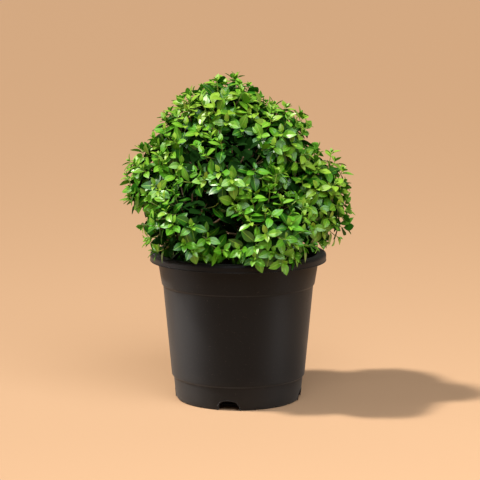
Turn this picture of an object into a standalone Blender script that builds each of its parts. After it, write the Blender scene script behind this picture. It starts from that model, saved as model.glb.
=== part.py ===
"""Potted orange jasmine ball: a dense, loosely clipped evergreen shrub in a black nursery pot.

Units are metres, +Z is up and -Y is the front. The origin is on the ground under the
centre of the pot.
"""

import math
import random

import bmesh
import bpy
from mathutils import Matrix, Vector
from mathutils.bvhtree import BVHTree

# The pot, moulded in black plastic
POT_HEIGHT = 0.210
POT_WALL = 0.0020
POT_SIDES = 48
RIM_RADIUS = 0.125
RIM_DROP = 0.0115
COLLAR_TOP_RADIUS = 0.1140
COLLAR_HEIGHT = 0.0340
SHOULDER_RADIUS = 0.1086
SHOULDER_STEP = 0.0020
HEEL_RADIUS = 0.0948
HEEL_STEP = 0.0026
FOOT_HEIGHT = 0.0325
FOOT_RADIUS = 0.0895
FOOT_ROUNDING = 0.0080
STAND_RADIUS = 0.0862
STAND_WIDTH = 0.0050
UNDERSIDE_RECESS = 0.0025
UNDERSIDE_DISC_RADIUS = 0.060
ARCH_COUNT = 4
ARCH_FIRST_ANGLE = math.radians(-98.7)
ARCH_WIDTH = 0.0296
ARCH_HEIGHT = 0.0135
ARCH_INNER_RADIUS = 0.068
ARCH_SQUARENESS = 2.6
ARCH_SEGMENTS = 20
SLOT_OFFSETS = [math.radians(angle) for angle in (27.0, 45.0, 63.0)]
SLOT_WIDTH = 0.0050
SLOT_HEIGHT = 0.0016

# The soil, and the gaps that keep touching solids apart
GAP = 0.0003
SOIL_TOP = 0.1800
SOIL_MOUND = 0.0040
SOIL_FLAT_RADIUS = 0.024
SOIL_FOOT_RADIUS = 0.060
SOIL_GAP = 0.0005
SADDLE_GAP = 0.00045

# The trunk, hidden in the crown
TRUNK_TOP = 0.358
TRUNK_LEAN = Vector((-0.015, 0.002, 0.0))
TRUNK_RADIUS = 0.0078
TRUNK_TIP_RADIUS = 0.0030
TRUNK_FLARE = 0.0062
TRUNK_FLARE_HEIGHT = 0.0064
TRUNK_POINTS = 9
TRUNK_SIDES = 10

# The boughs, one to each mass of foliage
BOUGH_BASE_RADIUS = 0.0034
BOUGH_TIP_RADIUS = 0.0022
BOUGH_POINTS = 6
BOUGH_SIDES = 6
BOUGH_RISE = 0.75
BOUGH_BEND = 0.45
DOOR_SHARE = 0.70

# The foliage
CROWN_SEED = 7
CORE_SHARE = 0.61
CELL_MARGIN = 0.0006
CORE_MARGIN = 0.0020
LIMB_CLEARANCE = 0.0012
POT_CLEARANCE = 0.0020
STEM_RADIUS = 0.0022
STEM_SIDES = 5
TWIG_SIDES = 3
TWIG_RADIUS = 0.0015
TWIG_TIP_RADIUS = 0.0012
CROWN_HEART = Vector((0.0, 0.0, 0.300))
EXPOSED_COSINE = -0.30
SPIRAL_DIRECTIONS = 31
SHOOT_REACHES = (1.0, 0.87, 0.74)
SHOOT_LIFT = 0.25
LEAF_LENGTH = 0.039
LEAF_WIDTH = 0.022
LEAF_THICKNESS = 0.0009
LEAF_FOLD = 0.0024
LEAF_WIDEST = 0.45
LEAF_ROOT = 0.0003
LEAF_JOINT = 0.2
LEAF_TRIES = 9
LEAF_TILT_PLAY = 0.14
LEAF_SWING_PLAY = 0.12
PAIR_STATIONS = (0.0, 0.008, 0.017)
PAIR_ANGLES = [math.radians(angle) for angle in (42.0, 62.0, 76.0)]
PAIR_SIZES = (0.82, 1.0, 1.0)

# Each mass of foliage: azimuth in degrees from the right-hand side, distance from the
# pot's axis, height above the ground, half width and half height of its space, and
# the height at which its bough leaves the trunk.
MASSES = {
    "foliage_peak": (180.0, 0.016, 0.401, 0.068, 0.067, TRUNK_TOP),
    "foliage_shoulder_left": (185.0, 0.067, 0.360, 0.069, 0.071, 0.285),
    "foliage_shoulder_right": (-10.0, 0.046, 0.362, 0.069, 0.071, 0.290),
    "foliage_shoulder_front": (-98.0, 0.070, 0.328, 0.074, 0.072, 0.272),
    "foliage_shoulder_back": (95.0, 0.062, 0.352, 0.069, 0.070, 0.280),
    "foliage_left": (185.0, 0.100, 0.302, 0.067, 0.071, 0.240),
    "foliage_right": (-6.0, 0.097, 0.288, 0.067, 0.078, 0.232),
    "foliage_front_left": (-128.0, 0.104, 0.260, 0.070, 0.066, 0.222),
    "foliage_front_right": (-68.0, 0.102, 0.258, 0.073, 0.064, 0.226),
    "foliage_back_left": (125.0, 0.102, 0.272, 0.069, 0.069, 0.228),
    "foliage_back_right": (55.0, 0.102, 0.272, 0.069, 0.069, 0.220),
}


def clear_scene():
    """Removes every object, so that the script can run in any open file."""
    for old in list(bpy.data.objects):
        bpy.data.objects.remove(old, do_unlink=True)


def new_collection(name, hidden=False):
    """A collection under the scene's own; a hidden one holds cutters."""
    collection = bpy.data.collections.new(name)
    bpy.context.scene.collection.children.link(collection)
    collection.hide_render = hidden
    return collection


def principled(name, colour, roughness):
    """A Principled material with one colour and roughness and no metal."""
    material = bpy.data.materials.new(name)
    material.use_nodes = True
    shader = material.node_tree.nodes["Principled BSDF"]
    shader.inputs["Base Color"].default_value = (*colour, 1.0)
    shader.inputs["Roughness"].default_value = roughness
    shader.inputs["Metallic"].default_value = 0.0
    material.diffuse_color = (*colour, 1.0)
    return material


def add_object(name, mesh, collection, material=None):
    """Links an object that holds this mesh."""
    thing = bpy.data.objects.new(name, mesh)
    collection.objects.link(thing)
    if material:
        mesh.materials.append(material)
    return thing


def add_bmesh(name, shape, collection, material=None):
    """Turns a bmesh into a linked object and frees it."""
    mesh = bpy.data.meshes.new(name)
    shape.to_mesh(mesh)
    shape.free()
    return add_object(name, mesh, collection, material)


def hide_cutter(thing):
    """A cutter shows as a wire and never renders."""
    thing.display_type = "WIRE"
    thing.hide_render = True


def turned(name, profile, collection, material):
    """A body turned about Z from (radius, height) points that run down its outer side."""
    mesh = bpy.data.meshes.new(name)
    points = [(radius, 0.0, height) for radius, height in profile]
    mesh.from_pydata(points, [(i, i + 1) for i in range(len(points) - 1)], [])
    thing = add_object(name, mesh, collection, material)
    screw = thing.modifiers.new("Turn", "SCREW")
    screw.steps = screw.render_steps = POT_SIDES
    screw.use_merge_vertices = True
    screw.merge_threshold = 0.0001
    screw.use_smooth_shade = True
    return thing


def boolean(thing, name, operation, collection):
    """A Boolean modifier that takes every object of a collection at once."""
    modifier = thing.modifiers.new(name, "BOOLEAN")
    modifier.operation = operation
    modifier.operand_type = "COLLECTION"
    modifier.collection = collection
    return modifier


# --- Pot ----------------------------------------------------------------


def wall_radius(height):
    """Outer radius of the pot's wall: foot band, main wall and collar, each a plain taper."""
    heel_top = FOOT_HEIGHT + HEEL_STEP
    shoulder = POT_HEIGHT - RIM_DROP - COLLAR_HEIGHT
    if height <= FOOT_HEIGHT:
        share = (height - FOOT_ROUNDING) / (FOOT_HEIGHT - FOOT_ROUNDING)
        return FOOT_RADIUS + share * (HEEL_RADIUS - HEEL_STEP - FOOT_RADIUS)
    if height <= shoulder:
        share = (height - heel_top) / (shoulder - heel_top)
        return HEEL_RADIUS + share * (SHOULDER_RADIUS - SHOULDER_STEP - HEEL_RADIUS)
    share = (height - shoulder) / COLLAR_HEIGHT
    return SHOULDER_RADIUS + share * (COLLAR_TOP_RADIUS - SHOULDER_RADIUS)


def pot_inside():
    """The section's inner line, from the middle of the floor up to the rim."""
    floor_top = UNDERSIDE_RECESS + POT_WALL
    shoulder = POT_HEIGHT - RIM_DROP - COLLAR_HEIGHT
    return [
        (0.0, floor_top),
        (FOOT_RADIUS - 3.2 * POT_WALL, floor_top),
        (FOOT_RADIUS - POT_WALL, floor_top + FOOT_ROUNDING),
        (wall_radius(FOOT_HEIGHT) - POT_WALL, FOOT_HEIGHT + HEEL_STEP),
        (HEEL_RADIUS - POT_WALL, FOOT_HEIGHT + 2.0 * HEEL_STEP),
        (wall_radius(shoulder) - POT_WALL, shoulder + POT_WALL),
        (SHOULDER_RADIUS - POT_WALL, shoulder + 2.0 * POT_WALL),
        (COLLAR_TOP_RADIUS - POT_WALL, POT_HEIGHT - 0.6 * POT_WALL),
    ]


def inside_radius(height):
    """The pot's inner radius at a height above its floor."""
    line = pot_inside()[1:]
    for (low, bottom), (high, top) in zip(line, line[1:]):
        if height <= top:
            return low + (high - low) * (height - bottom) / (top - bottom)
    return line[-1][0]


def pot_profile():
    """The wall's section: up the inside, over the turned-down rim, and down the outside."""
    collar_top = POT_HEIGHT - RIM_DROP
    shoulder = collar_top - COLLAR_HEIGHT
    inner_top = COLLAR_TOP_RADIUS - POT_WALL
    rim = [
        (inner_top + 0.8 * POT_WALL, POT_HEIGHT),
        (RIM_RADIUS - 1.8 * POT_WALL, POT_HEIGHT),
        (RIM_RADIUS - 0.5 * POT_WALL, POT_HEIGHT - 0.6 * POT_WALL),
        (RIM_RADIUS, POT_HEIGHT - 2.0 * POT_WALL),
        (RIM_RADIUS - 0.1 * POT_WALL, POT_HEIGHT - RIM_DROP),
        (RIM_RADIUS - POT_WALL, POT_HEIGHT - RIM_DROP),
        (RIM_RADIUS - POT_WALL, POT_HEIGHT - 1.4 * POT_WALL),
        (COLLAR_TOP_RADIUS + 0.4 * POT_WALL, POT_HEIGHT - 1.2 * POT_WALL),
    ]
    outside = [
        (COLLAR_TOP_RADIUS, collar_top),
        (SHOULDER_RADIUS, shoulder + 0.4 * SHOULDER_STEP),
        (SHOULDER_RADIUS - SHOULDER_STEP, shoulder - 0.6 * SHOULDER_STEP),
        (HEEL_RADIUS, FOOT_HEIGHT + HEEL_STEP),
        (HEEL_RADIUS - HEEL_STEP, FOOT_HEIGHT),
        (FOOT_RADIUS, FOOT_ROUNDING),
        (FOOT_RADIUS - 0.0010, 0.35 * FOOT_ROUNDING),
        (STAND_RADIUS, 0.0),
        (STAND_RADIUS - STAND_WIDTH, 0.0),
        (STAND_RADIUS - STAND_WIDTH - UNDERSIDE_RECESS, UNDERSIDE_RECESS),
        (UNDERSIDE_DISC_RADIUS + UNDERSIDE_RECESS, UNDERSIDE_RECESS),
        (UNDERSIDE_DISC_RADIUS, 0.0),
        (0.0, 0.0),
    ]
    return pot_inside() + rim + outside


def arch_cutter(index, cutters):
    """One drainage arch: a cylinder along the radius, squared up by a superellipse."""
    shape = bmesh.new()
    length = RIM_RADIUS - ARCH_INNER_RADIUS
    bmesh.ops.create_cone(
        shape, cap_ends=True, segments=ARCH_SEGMENTS, radius1=1.0, radius2=1.0, depth=length
    )
    power = 2.0 / ARCH_SQUARENESS
    for point in shape.verts:
        angle = math.atan2(point.co.y, point.co.x)
        wide = math.copysign(abs(math.cos(angle)) ** power, math.cos(angle))
        high = math.copysign(abs(math.sin(angle)) ** power, math.sin(angle))
        point.co.x = wide * ARCH_WIDTH / 2.0
        point.co.y = high * ARCH_HEIGHT
    middle = Matrix.Translation((ARCH_INNER_RADIUS + length / 2.0, 0.0, 0.0))
    along_x = Matrix.Rotation(math.pi / 2, 4, "Z") @ Matrix.Rotation(math.pi / 2, 4, "X")
    turn = ARCH_FIRST_ANGLE + index * 2.0 * math.pi / ARCH_COUNT
    shape.transform(Matrix.Rotation(turn, 4, "Z") @ middle @ along_x)
    hide_cutter(add_bmesh(f"cut_arch_{index + 1}", shape, cutters))


def slot_cutter(name, turn, cutters):
    """One shallow slot in the standing edge: a small box across the wall."""
    shape = bmesh.new()
    bmesh.ops.create_cube(shape, size=1.0)
    reach = RIM_RADIUS - STAND_RADIUS + 2.0 * STAND_WIDTH
    size = Matrix.Diagonal((reach, SLOT_WIDTH, 2.0 * SLOT_HEIGHT, 1.0))
    middle = Matrix.Translation((STAND_RADIUS - 2.0 * STAND_WIDTH + reach / 2.0, 0.0, 0.0))
    shape.transform(Matrix.Rotation(turn, 4, "Z") @ middle @ size)
    hide_cutter(add_bmesh(name, shape, cutters))


def build_pot(parts, cutters):
    """The turned pot with its drainage arches and the slots between them."""
    pot = turned("pot", pot_profile(), parts, principled("pot_plastic", (0.03, 0.028, 0.027), 0.5))
    for index in range(ARCH_COUNT):
        arch_cutter(index, cutters)
        turn = ARCH_FIRST_ANGLE + index * 2.0 * math.pi / ARCH_COUNT
        for number, offset in enumerate(SLOT_OFFSETS):
            slot_cutter(f"cut_slot_{index + 1}_{number + 1}", turn + offset, cutters)
    boolean(pot, "Drainage", "DIFFERENCE", cutters)


# --- Soil ---------------------------------------------------------------


def build_soil(parts):
    """The root ball: it fills the pot, with a low mound on top and a coned lower edge."""
    beside_wall = [
        (inside_radius(height) - SOIL_GAP, height)
        for height in (SOIL_TOP, *[z for _, z in reversed(pot_inside()[4:7])])
    ]
    floor = UNDERSIDE_RECESS + POT_WALL + GAP
    profile = [
        (0.0, SOIL_TOP + SOIL_MOUND),
        (SOIL_FLAT_RADIUS, SOIL_TOP + SOIL_MOUND),
        (2.4 * SOIL_FLAT_RADIUS, SOIL_TOP + 0.7 * SOIL_MOUND),
        *beside_wall,
        (SOIL_FOOT_RADIUS, floor),
        (0.0, floor),
    ]
    turned("soil", profile, parts, principled("potting_soil", (0.06, 0.04, 0.028), 0.95))


# --- Trunk and boughs ---------------------------------------------------


def limb_curve(name, points, radii, collection, sides):
    """A tapering limb: a poly curve whose bevel follows the radius at each point."""
    curve = bpy.data.curves.new(name, "CURVE")
    curve.dimensions = "3D"
    curve.bevel_depth = 1.0
    curve.bevel_resolution = (sides - 4) // 2
    curve.use_fill_caps = True
    spline = curve.splines.new("POLY")
    spline.points.add(len(points) - 1)
    for place, point, radius in zip(spline.points, points, radii):
        place.co = (*point, 1.0)
        place.radius = radius
    thing = bpy.data.objects.new(name, curve)
    collection.objects.link(thing)
    return thing


def curve_to_mesh(thing, collection, material=None):
    """The curve's evaluated mesh as a new object of the same name, with its caps welded."""
    name = thing.name
    graph = bpy.context.evaluated_depsgraph_get()
    mesh = bpy.data.meshes.new_from_object(thing.evaluated_get(graph))
    place = thing.matrix_world.copy()
    bpy.data.objects.remove(thing, do_unlink=True)
    shape = bmesh.new()
    shape.from_mesh(mesh)
    bmesh.ops.remove_doubles(shape, verts=shape.verts, dist=0.00001)
    bmesh.ops.recalc_face_normals(shape, faces=shape.faces)
    shape.to_mesh(mesh)
    shape.free()
    made = add_object(name, mesh, collection, material)
    made.matrix_world = place
    return made


def trunk_point(height):
    """The trunk's centre line: it starts upright and leans over as it rises."""
    foot = SOIL_TOP + SOIL_MOUND + GAP
    share = (height - foot) / (TRUNK_TOP - foot)
    return Vector((0.0, 0.0, height)) + TRUNK_LEAN * share * share


def trunk_radius(height):
    """The trunk's taper with the root flare added over its lowest stretch."""
    foot = SOIL_TOP + SOIL_MOUND + GAP
    share = (height - foot) / (TRUNK_TOP - foot)
    taper = TRUNK_RADIUS + share * (TRUNK_TIP_RADIUS - TRUNK_RADIUS)
    return taper + TRUNK_FLARE * math.exp(-(height - foot) / TRUNK_FLARE_HEIGHT)


def trunk_heights():
    """Heights along the trunk, closer together in the flare."""
    foot = SOIL_TOP + SOIL_MOUND + GAP
    return [foot + (TRUNK_TOP - foot) * (i / TRUNK_POINTS) ** 1.5 for i in range(TRUNK_POINTS + 1)]


def build_trunk(parts, cutters, bark):
    """The trunk and, for the boughs' saddles, a cutter of its shape grown by the gap."""
    heights = trunk_heights()
    points = [trunk_point(height) for height in heights]
    radii = [trunk_radius(height) for height in heights]
    curve_to_mesh(limb_curve("trunk", points, radii, parts, TRUNK_SIDES), parts, bark)
    grown = [radius + SADDLE_GAP for radius in radii]
    longer = points[:-1] + [points[-1] + Vector((0.0, 0.0, GAP))]
    curve = limb_curve("cut_saddle", longer, grown, cutters, TRUNK_SIDES)
    saddle = curve_to_mesh(curve, cutters)
    hide_cutter(saddle)
    return saddle


class Mass:
    """The space of one mass of foliage and the limb that carries it."""

    def __init__(self, name, azimuth, distance, height, half_width, half_height, fork):
        turn = math.radians(azimuth)
        self.name = name
        self.centre = Vector((distance * math.cos(turn), distance * math.sin(turn), height))
        self.radii = Vector((half_width, half_width, half_height))
        self.fork = trunk_point(fork)
        self.inward = self.fork - self.centre
        self.on_trunk = fork == TRUNK_TOP
        if self.on_trunk:
            self.door = self.fork
            self.inward.normalize()
        else:
            self.inward.z = -BOUGH_RISE * self.inward.xy.length
            self.inward.normalize()
            self.door = self.centre + self.inward * DOOR_SHARE * self.extent(self.inward)

    def limb_points(self):
        """The bough's line: out of the trunk, then bending up towards the mass."""
        start, end = self.fork, self.door
        bend = end + self.inward * BOUGH_BEND * (end - start).length
        points = []
        for i in range(BOUGH_POINTS):
            t = i / (BOUGH_POINTS - 1)
            points.append(start * (1 - t) ** 2 + bend * 2 * t * (1 - t) + end * t * t)
        return points

    def extent(self, direction):
        """Distance from the centre to the ellipsoid's skin along a unit direction."""
        return 1.0 / Vector(a / b for a, b in zip(direction, self.radii)).length

    def holds(self, point):
        """Whether a point lies inside the mass's ellipsoid."""
        offset = point - self.centre
        return Vector(a / b for a, b in zip(offset, self.radii)).length <= 1.0


def bough_radii():
    """The taper of every bough, from its saddle to its tip."""
    step = (BOUGH_TIP_RADIUS - BOUGH_BASE_RADIUS) / (BOUGH_POINTS - 1)
    return [BOUGH_BASE_RADIUS + step * i for i in range(BOUGH_POINTS)]


def build_bough(mass, parts, saddle, bark):
    """One limb from its saddle on the trunk to the door of its mass."""
    name = mass.name.replace("foliage", "bough")
    curve = limb_curve(name, mass.limb_points(), bough_radii(), parts, BOUGH_SIDES)
    bough = curve_to_mesh(curve, parts, bark)
    cut = bough.modifiers.new("Saddle", "BOOLEAN")
    cut.operation = "DIFFERENCE"
    cut.object = saddle


# --- Foliage ------------------------------------------------------------


def cell_planes(mass, masses, margin):
    """(point, normal) planes that bound a mass: one against each neighbour and its door."""
    planes = [(mass.door + mass.inward * -GAP, mass.inward)]
    for other in masses:
        if other is mass:
            continue
        line = other.centre - mass.centre
        size, other_size = mass.radii.x, other.radii.x
        share = (line.length_squared + size**2 - other_size**2) / (2.0 * line.length_squared)
        normal = line.normalized()
        planes.append((mass.centre + line * share - normal * margin, normal))
    return planes


def inside_planes(point, planes):
    """Whether a point is on the inner side of every plane."""
    return all((point - place).dot(normal) <= 0.0 for place, normal in planes)


def clear_of_pot(point):
    """Whether a point stays off the pot's rim and wall and above the soil."""
    radius = math.hypot(point.x, point.y)
    if radius < COLLAR_TOP_RADIUS - POT_WALL - POT_CLEARANCE:
        return point.z > SOIL_TOP + SOIL_MOUND + POT_CLEARANCE
    return point.z > POT_HEIGHT + POT_CLEARANCE or radius > RIM_RADIUS + POT_CLEARANCE


def clear_of_limbs(point, limbs):
    """Whether a point keeps its clearance from every limb's tapering line."""
    for points, radii in limbs:
        for a, b, radius in zip(points, points[1:], radii):
            line = b - a
            t = max(0.0, min(1.0, (point - a).dot(line) / line.length_squared))
            if (point - a - line * t).length < radius + LIMB_CLEARANCE:
                return False
    return True


def spiral(count):
    """Directions spread evenly over a sphere along a golden-angle spiral."""
    golden = math.pi * (3.0 - math.sqrt(5.0))
    for i in range(count):
        z = 1.0 - 2.0 * (i + 0.5) / count
        ring = math.sqrt(1.0 - z * z)
        yield Vector((ring * math.cos(golden * i), ring * math.sin(golden * i), z))


def leaf_shape(length):
    """One leaf of eight faces: an octahedron drawn out to a folded, pointed blade along +X."""
    shape = bmesh.new()
    bmesh.ops.create_uvsphere(shape, u_segments=4, v_segments=2, radius=1.0)
    width = LEAF_WIDTH * length / LEAF_LENGTH
    for point in shape.verts:
        across, over, along = point.co
        half = LEAF_THICKNESS / 2.0
        if abs(along) > 0.5:
            point.co = Vector((length if along > 0 else 0.0, 0.0, 0.0))
        elif abs(across) > 0.5:
            point.co = Vector((LEAF_WIDEST * length, across * width / 2.0, LEAF_FOLD))
        else:
            point.co = Vector((LEAF_WIDEST * length, 0.0, over * half))
    return shape


def frame_along(direction, up):
    """A rotation that lays +X along direction with +Z as near to up as it can be."""
    x = direction.normalized()
    y = up.cross(x).normalized()
    z = x.cross(y)
    return Matrix((x, y, z)).transposed().to_4x4()


def tapered_twig(start, end, radius, tip_radius, sides):
    """A straight tapering twig from start to end as a closed cone."""
    shape = bmesh.new()
    line = end - start
    bmesh.ops.create_cone(
        shape, cap_ends=True, segments=sides, radius1=radius, radius2=tip_radius, depth=line.length
    )
    turn = line.to_track_quat("Z", "Y").to_matrix().to_4x4()
    shape.transform(Matrix.Translation((start + end) / 2.0) @ turn)
    return shape


def core_shape(mass, planes):
    """The dense heart of a mass: a small ball cut flat where its neighbours begin."""
    shape = bmesh.new()
    bmesh.ops.create_icosphere(shape, subdivisions=2, radius=1.0)
    size = Matrix.Diagonal((*(mass.radii * CORE_SHARE), 1.0))
    shape.transform(Matrix.Translation(mass.centre) @ size)
    for place, normal in planes:
        geometry = shape.verts[:] + shape.edges[:] + shape.faces[:]
        cut = bmesh.ops.bisect_plane(
            shape, geom=geometry, plane_co=place, plane_no=normal, clear_outer=True
        )
        edges = [part for part in cut["geom_cut"] if isinstance(part, bmesh.types.BMEdge)]
        if edges:
            bmesh.ops.holes_fill(shape, edges=edges)
    bmesh.ops.remove_doubles(shape, verts=shape.verts, dist=0.0002)
    bmesh.ops.recalc_face_normals(shape, faces=shape.faces)
    return shape


def shoots_of(mass, planes, limbs, dice):
    """(tip, axis) of each leafy shoot, at the furthest reach that its mass's space allows."""
    outward = (mass.centre - CROWN_HEART).normalized()
    for direction in spiral(SPIRAL_DIRECTIONS):
        if direction.dot(outward) < EXPOSED_COSINE:
            continue
        axis = (direction + Vector((0.0, 0.0, SHOOT_LIFT))).normalized()
        play = dice.uniform(0.94, 1.0)
        for reach in SHOOT_REACHES:
            skin = mass.centre + direction * mass.extent(direction) * reach * play
            tip = skin - axis * LEAF_LENGTH * PAIR_SIZES[0] * math.cos(PAIR_ANGLES[0])
            ends = [mass.centre.lerp(tip, share) for share in (0.5, 0.75, 1.0)]
            if fits([skin, *ends], mass, planes, limbs):
                yield tip, (tip - mass.centre).normalized()
                break


def leaf_places(tip, axis, dice):
    """The leaves of a shoot in crossed pairs: a list of (root, direction, length) tries for each."""
    turn = Matrix.Rotation(dice.uniform(0.0, math.pi), 3, axis)
    side = turn @ axis.orthogonal().normalized()
    for station, angle, size in zip(PAIR_STATIONS, PAIR_ANGLES, PAIR_SIZES):
        node = tip - axis * station
        for out in (side, -side):
            tries = []
            for number in range(LEAF_TRIES):
                play = 1 + number
                tilt = angle + dice.uniform(-LEAF_TILT_PLAY, LEAF_TILT_PLAY) * play
                turned_by = dice.uniform(-LEAF_SWING_PLAY, LEAF_SWING_PLAY) * play
                swing = Matrix.Rotation(turned_by, 3, axis)
                direction = axis * math.cos(tilt) + (swing @ out) * math.sin(tilt)
                length = LEAF_LENGTH * size * dice.uniform(0.90, 1.05)
                tries.append((node - direction * LEAF_ROOT, direction, length))
            yield tries
        side = axis.cross(side)


def fits(points, mass, planes, limbs):
    """Whether every point keeps to the mass's own space and off limbs and pot."""
    return all(
        mass.holds(point)
        and inside_planes(point, planes)
        and clear_of_pot(point)
        and clear_of_limbs(point, limbs)
        for point in points
    )


def placed_leaf(tries, axis, mass, planes, limbs, others):
    """The first try at a leaf that stays in its mass's space and crosses no other leaf."""
    for root, direction, length in tries:
        shape = leaf_shape(length)
        shape.transform(Matrix.Translation(root) @ frame_along(direction, axis))
        corners = [point.co.copy() for point in shape.verts]
        ends = [[point.co for point in edge.verts] for edge in shape.edges]
        probes = [a.lerp(b, share) for a, b in ends for share in (0.25, 0.5, 0.75)]
        base = min(corners, key=lambda corner: (corner - root).length)
        corners[corners.index(base)] = root + direction * LEAF_JOINT * length
        faces = [[point.index for point in face.verts] for face in shape.faces]
        blade = BVHTree.FromPolygons(corners, faces)
        crosses = any(blade.overlap(other) for other in others)
        if not crosses and fits(corners + probes, mass, planes, limbs):
            others.append(blade)
            return shape
        shape.free()
    return None


def build_mass(mass, masses, limbs, parts, green, dice):
    """One mass of foliage: core, stem, twigs and leaves fused into a single closed solid.

    It returns the number of its leaves.
    """
    pieces = new_collection(mass.name + "_pieces", hidden=True)
    planes = cell_planes(mass, masses, CELL_MARGIN)
    core = core_shape(mass, cell_planes(mass, masses, CORE_MARGIN))
    blades = [BVHTree.FromBMesh(core)]
    foliage = add_bmesh(mass.name, core, parts, green)
    stem_start = mass.door - mass.inward * GAP
    stem = tapered_twig(stem_start, mass.centre, STEM_RADIUS, TWIG_RADIUS, STEM_SIDES)
    add_bmesh(f"{mass.name}_stem", stem, pieces)
    for tip, axis in shoots_of(mass, planes, limbs, dice):
        twig = tapered_twig(mass.centre, tip, TWIG_RADIUS, TWIG_TIP_RADIUS, TWIG_SIDES)
        add_bmesh(f"{mass.name}_twig", twig, pieces)
        for tries in leaf_places(tip, axis, dice):
            leaf = placed_leaf(tries, axis, mass, planes, limbs, blades)
            if leaf:
                add_bmesh(f"{mass.name}_leaf", leaf, pieces)
    fuse(foliage, pieces)
    return len(blades) - 1


def keep_largest_shell(mesh):
    """Drops loose scraps and fills sealed hollows: only the largest connected skin stays."""
    shape = bmesh.new()
    shape.from_mesh(mesh)
    unseen = set(shape.faces)
    shells = []
    while unseen:
        shell = [unseen.pop()]
        for face in shell:
            near = {other for edge in face.edges for other in edge.link_faces} & unseen
            unseen -= near
            shell.extend(near)
        shells.append(shell)
    shells.sort(key=lambda shell: sum(face.calc_area() for face in shell))
    scraps = [face for shell in shells[:-1] for face in shell]
    bmesh.ops.delete(shape, geom=scraps, context="FACES")
    shape.to_mesh(mesh)
    shape.free()


def fuse(thing, pieces):
    """Joins a collection's closed pieces to the object and removes them."""
    union = boolean(thing, "Fuse", "UNION", pieces)
    union.solver = "MANIFOLD"
    graph = bpy.context.evaluated_depsgraph_get()
    mesh = bpy.data.meshes.new_from_object(thing.evaluated_get(graph))
    thing.modifiers.clear()
    keep_largest_shell(mesh)
    thing.data = mesh
    for piece in list(pieces.objects):
        bpy.data.objects.remove(piece, do_unlink=True)
    bpy.data.collections.remove(pieces)


def build():
    """Builds the whole plant in its pot."""
    clear_scene()
    dice = random.Random(CROWN_SEED)
    parts = new_collection("potted_orange_jasmine")
    cutters = new_collection("cutters", hidden=True)
    saddles = new_collection("saddles", hidden=True)
    bark = principled("bark", (0.20, 0.15, 0.09), 0.85)
    green = principled("leaf_green", (0.10, 0.27, 0.05), 0.45)
    build_pot(parts, cutters)
    build_soil(parts)
    saddle = build_trunk(parts, saddles, bark)
    masses = [Mass(name, *sizes) for name, sizes in MASSES.items()]
    heights = trunk_heights()
    limbs = [([trunk_point(z) for z in heights], [trunk_radius(z) for z in heights])]
    for mass in masses:
        if not mass.on_trunk:
            build_bough(mass, parts, saddle, bark)
            limbs.append((mass.limb_points(), bough_radii()))
    leaves = [build_mass(mass, masses, limbs, parts, green, dice) for mass in masses]
    print("leaves:", sum(leaves))


build()
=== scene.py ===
"""Potted orange jasmine ball: its pot, potting mix, bark, twigs and leaves, with light and camera.

Units are metres, +Z is up and -Y is the front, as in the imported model. The sections follow the
plant as it is put together: pot, soil, trunk and boughs, crown, and then the floor, light and camera.
"""

import itertools
import math

import bpy
import numpy as np
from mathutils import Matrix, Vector
from mathutils.bvhtree import BVHTree


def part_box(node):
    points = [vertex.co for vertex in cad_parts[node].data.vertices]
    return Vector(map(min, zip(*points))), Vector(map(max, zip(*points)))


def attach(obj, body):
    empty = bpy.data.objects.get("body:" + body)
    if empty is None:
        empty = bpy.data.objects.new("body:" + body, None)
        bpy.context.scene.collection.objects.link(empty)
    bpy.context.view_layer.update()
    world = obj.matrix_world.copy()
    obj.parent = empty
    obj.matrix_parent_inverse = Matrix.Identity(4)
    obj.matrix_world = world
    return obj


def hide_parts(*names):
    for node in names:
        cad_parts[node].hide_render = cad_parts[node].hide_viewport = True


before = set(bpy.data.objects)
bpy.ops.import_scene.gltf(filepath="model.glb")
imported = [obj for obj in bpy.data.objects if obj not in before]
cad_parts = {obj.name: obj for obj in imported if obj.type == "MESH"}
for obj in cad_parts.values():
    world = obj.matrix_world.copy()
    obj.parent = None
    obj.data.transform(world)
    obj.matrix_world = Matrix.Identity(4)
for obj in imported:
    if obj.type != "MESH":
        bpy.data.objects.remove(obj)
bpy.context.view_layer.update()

# --- Pot -----------------------------------------------------------------
# A nursery pot moulded in black polypropylene. The wall is thin and tapers, with a stepped
# collar and heel, a turned-down rim, and drainage arches with a raised lip through the foot.

WALL = 0.002
POT_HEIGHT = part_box("pot")[1].z
RIM_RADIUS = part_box("pot")[1].x
RIM_DROP = 0.0115
RIM_GROOVE_HEIGHT = 0.0016
RIM_BEAD_HEIGHT = 0.0007
COLLAR_RADIUS = 0.114
COLLAR_HEIGHT = 0.034
SHOULDER_RADIUS = 0.1086
SHOULDER_STEP = 0.002
HEEL_RADIUS = 0.0948
HEEL_STEP = 0.0026
FOOT_HEIGHT = 0.0325
FOOT_RADIUS = 0.0895
FOOT_ROUNDING = 0.008
FOOT_TUCK = 0.001
STAND_RADIUS = 0.0862
STAND_WIDTH = 0.005
RECESS = 0.0025
DISC_RADIUS = 0.06
ARCH_COUNT = 4
ARCH_FIRST_ANGLE = math.radians(-98.7)
ARCH_WIDTH = 0.0296
ARCH_HEIGHT = 0.0135
ARCH_INNER_RADIUS = 0.068
ARCH_SQUARENESS = 2.6
ARCH_POINTS = 40
ARCH_LIP_OFFSET = 0.0011
ARCH_LIP_RADIUS = 0.0008
ARCH_LIP_LOWEST = 0.0012
SLOT_OFFSETS = np.radians([27.0, 45.0, 63.0])
SLOT_WIDTH = 0.005
SLOT_HEIGHT = 0.0016
POT_SIDES = 192
POT_ROW = 0.006
EDGE_ROUNDING = 0.0007
FLEX = 0.00022
PLASTIC_BLACK = (0.0034, 0.0034, 0.0036)
PLASTIC_DUST = (0.085, 0.066, 0.05)
DUST_HEIGHT = 0.07


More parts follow.
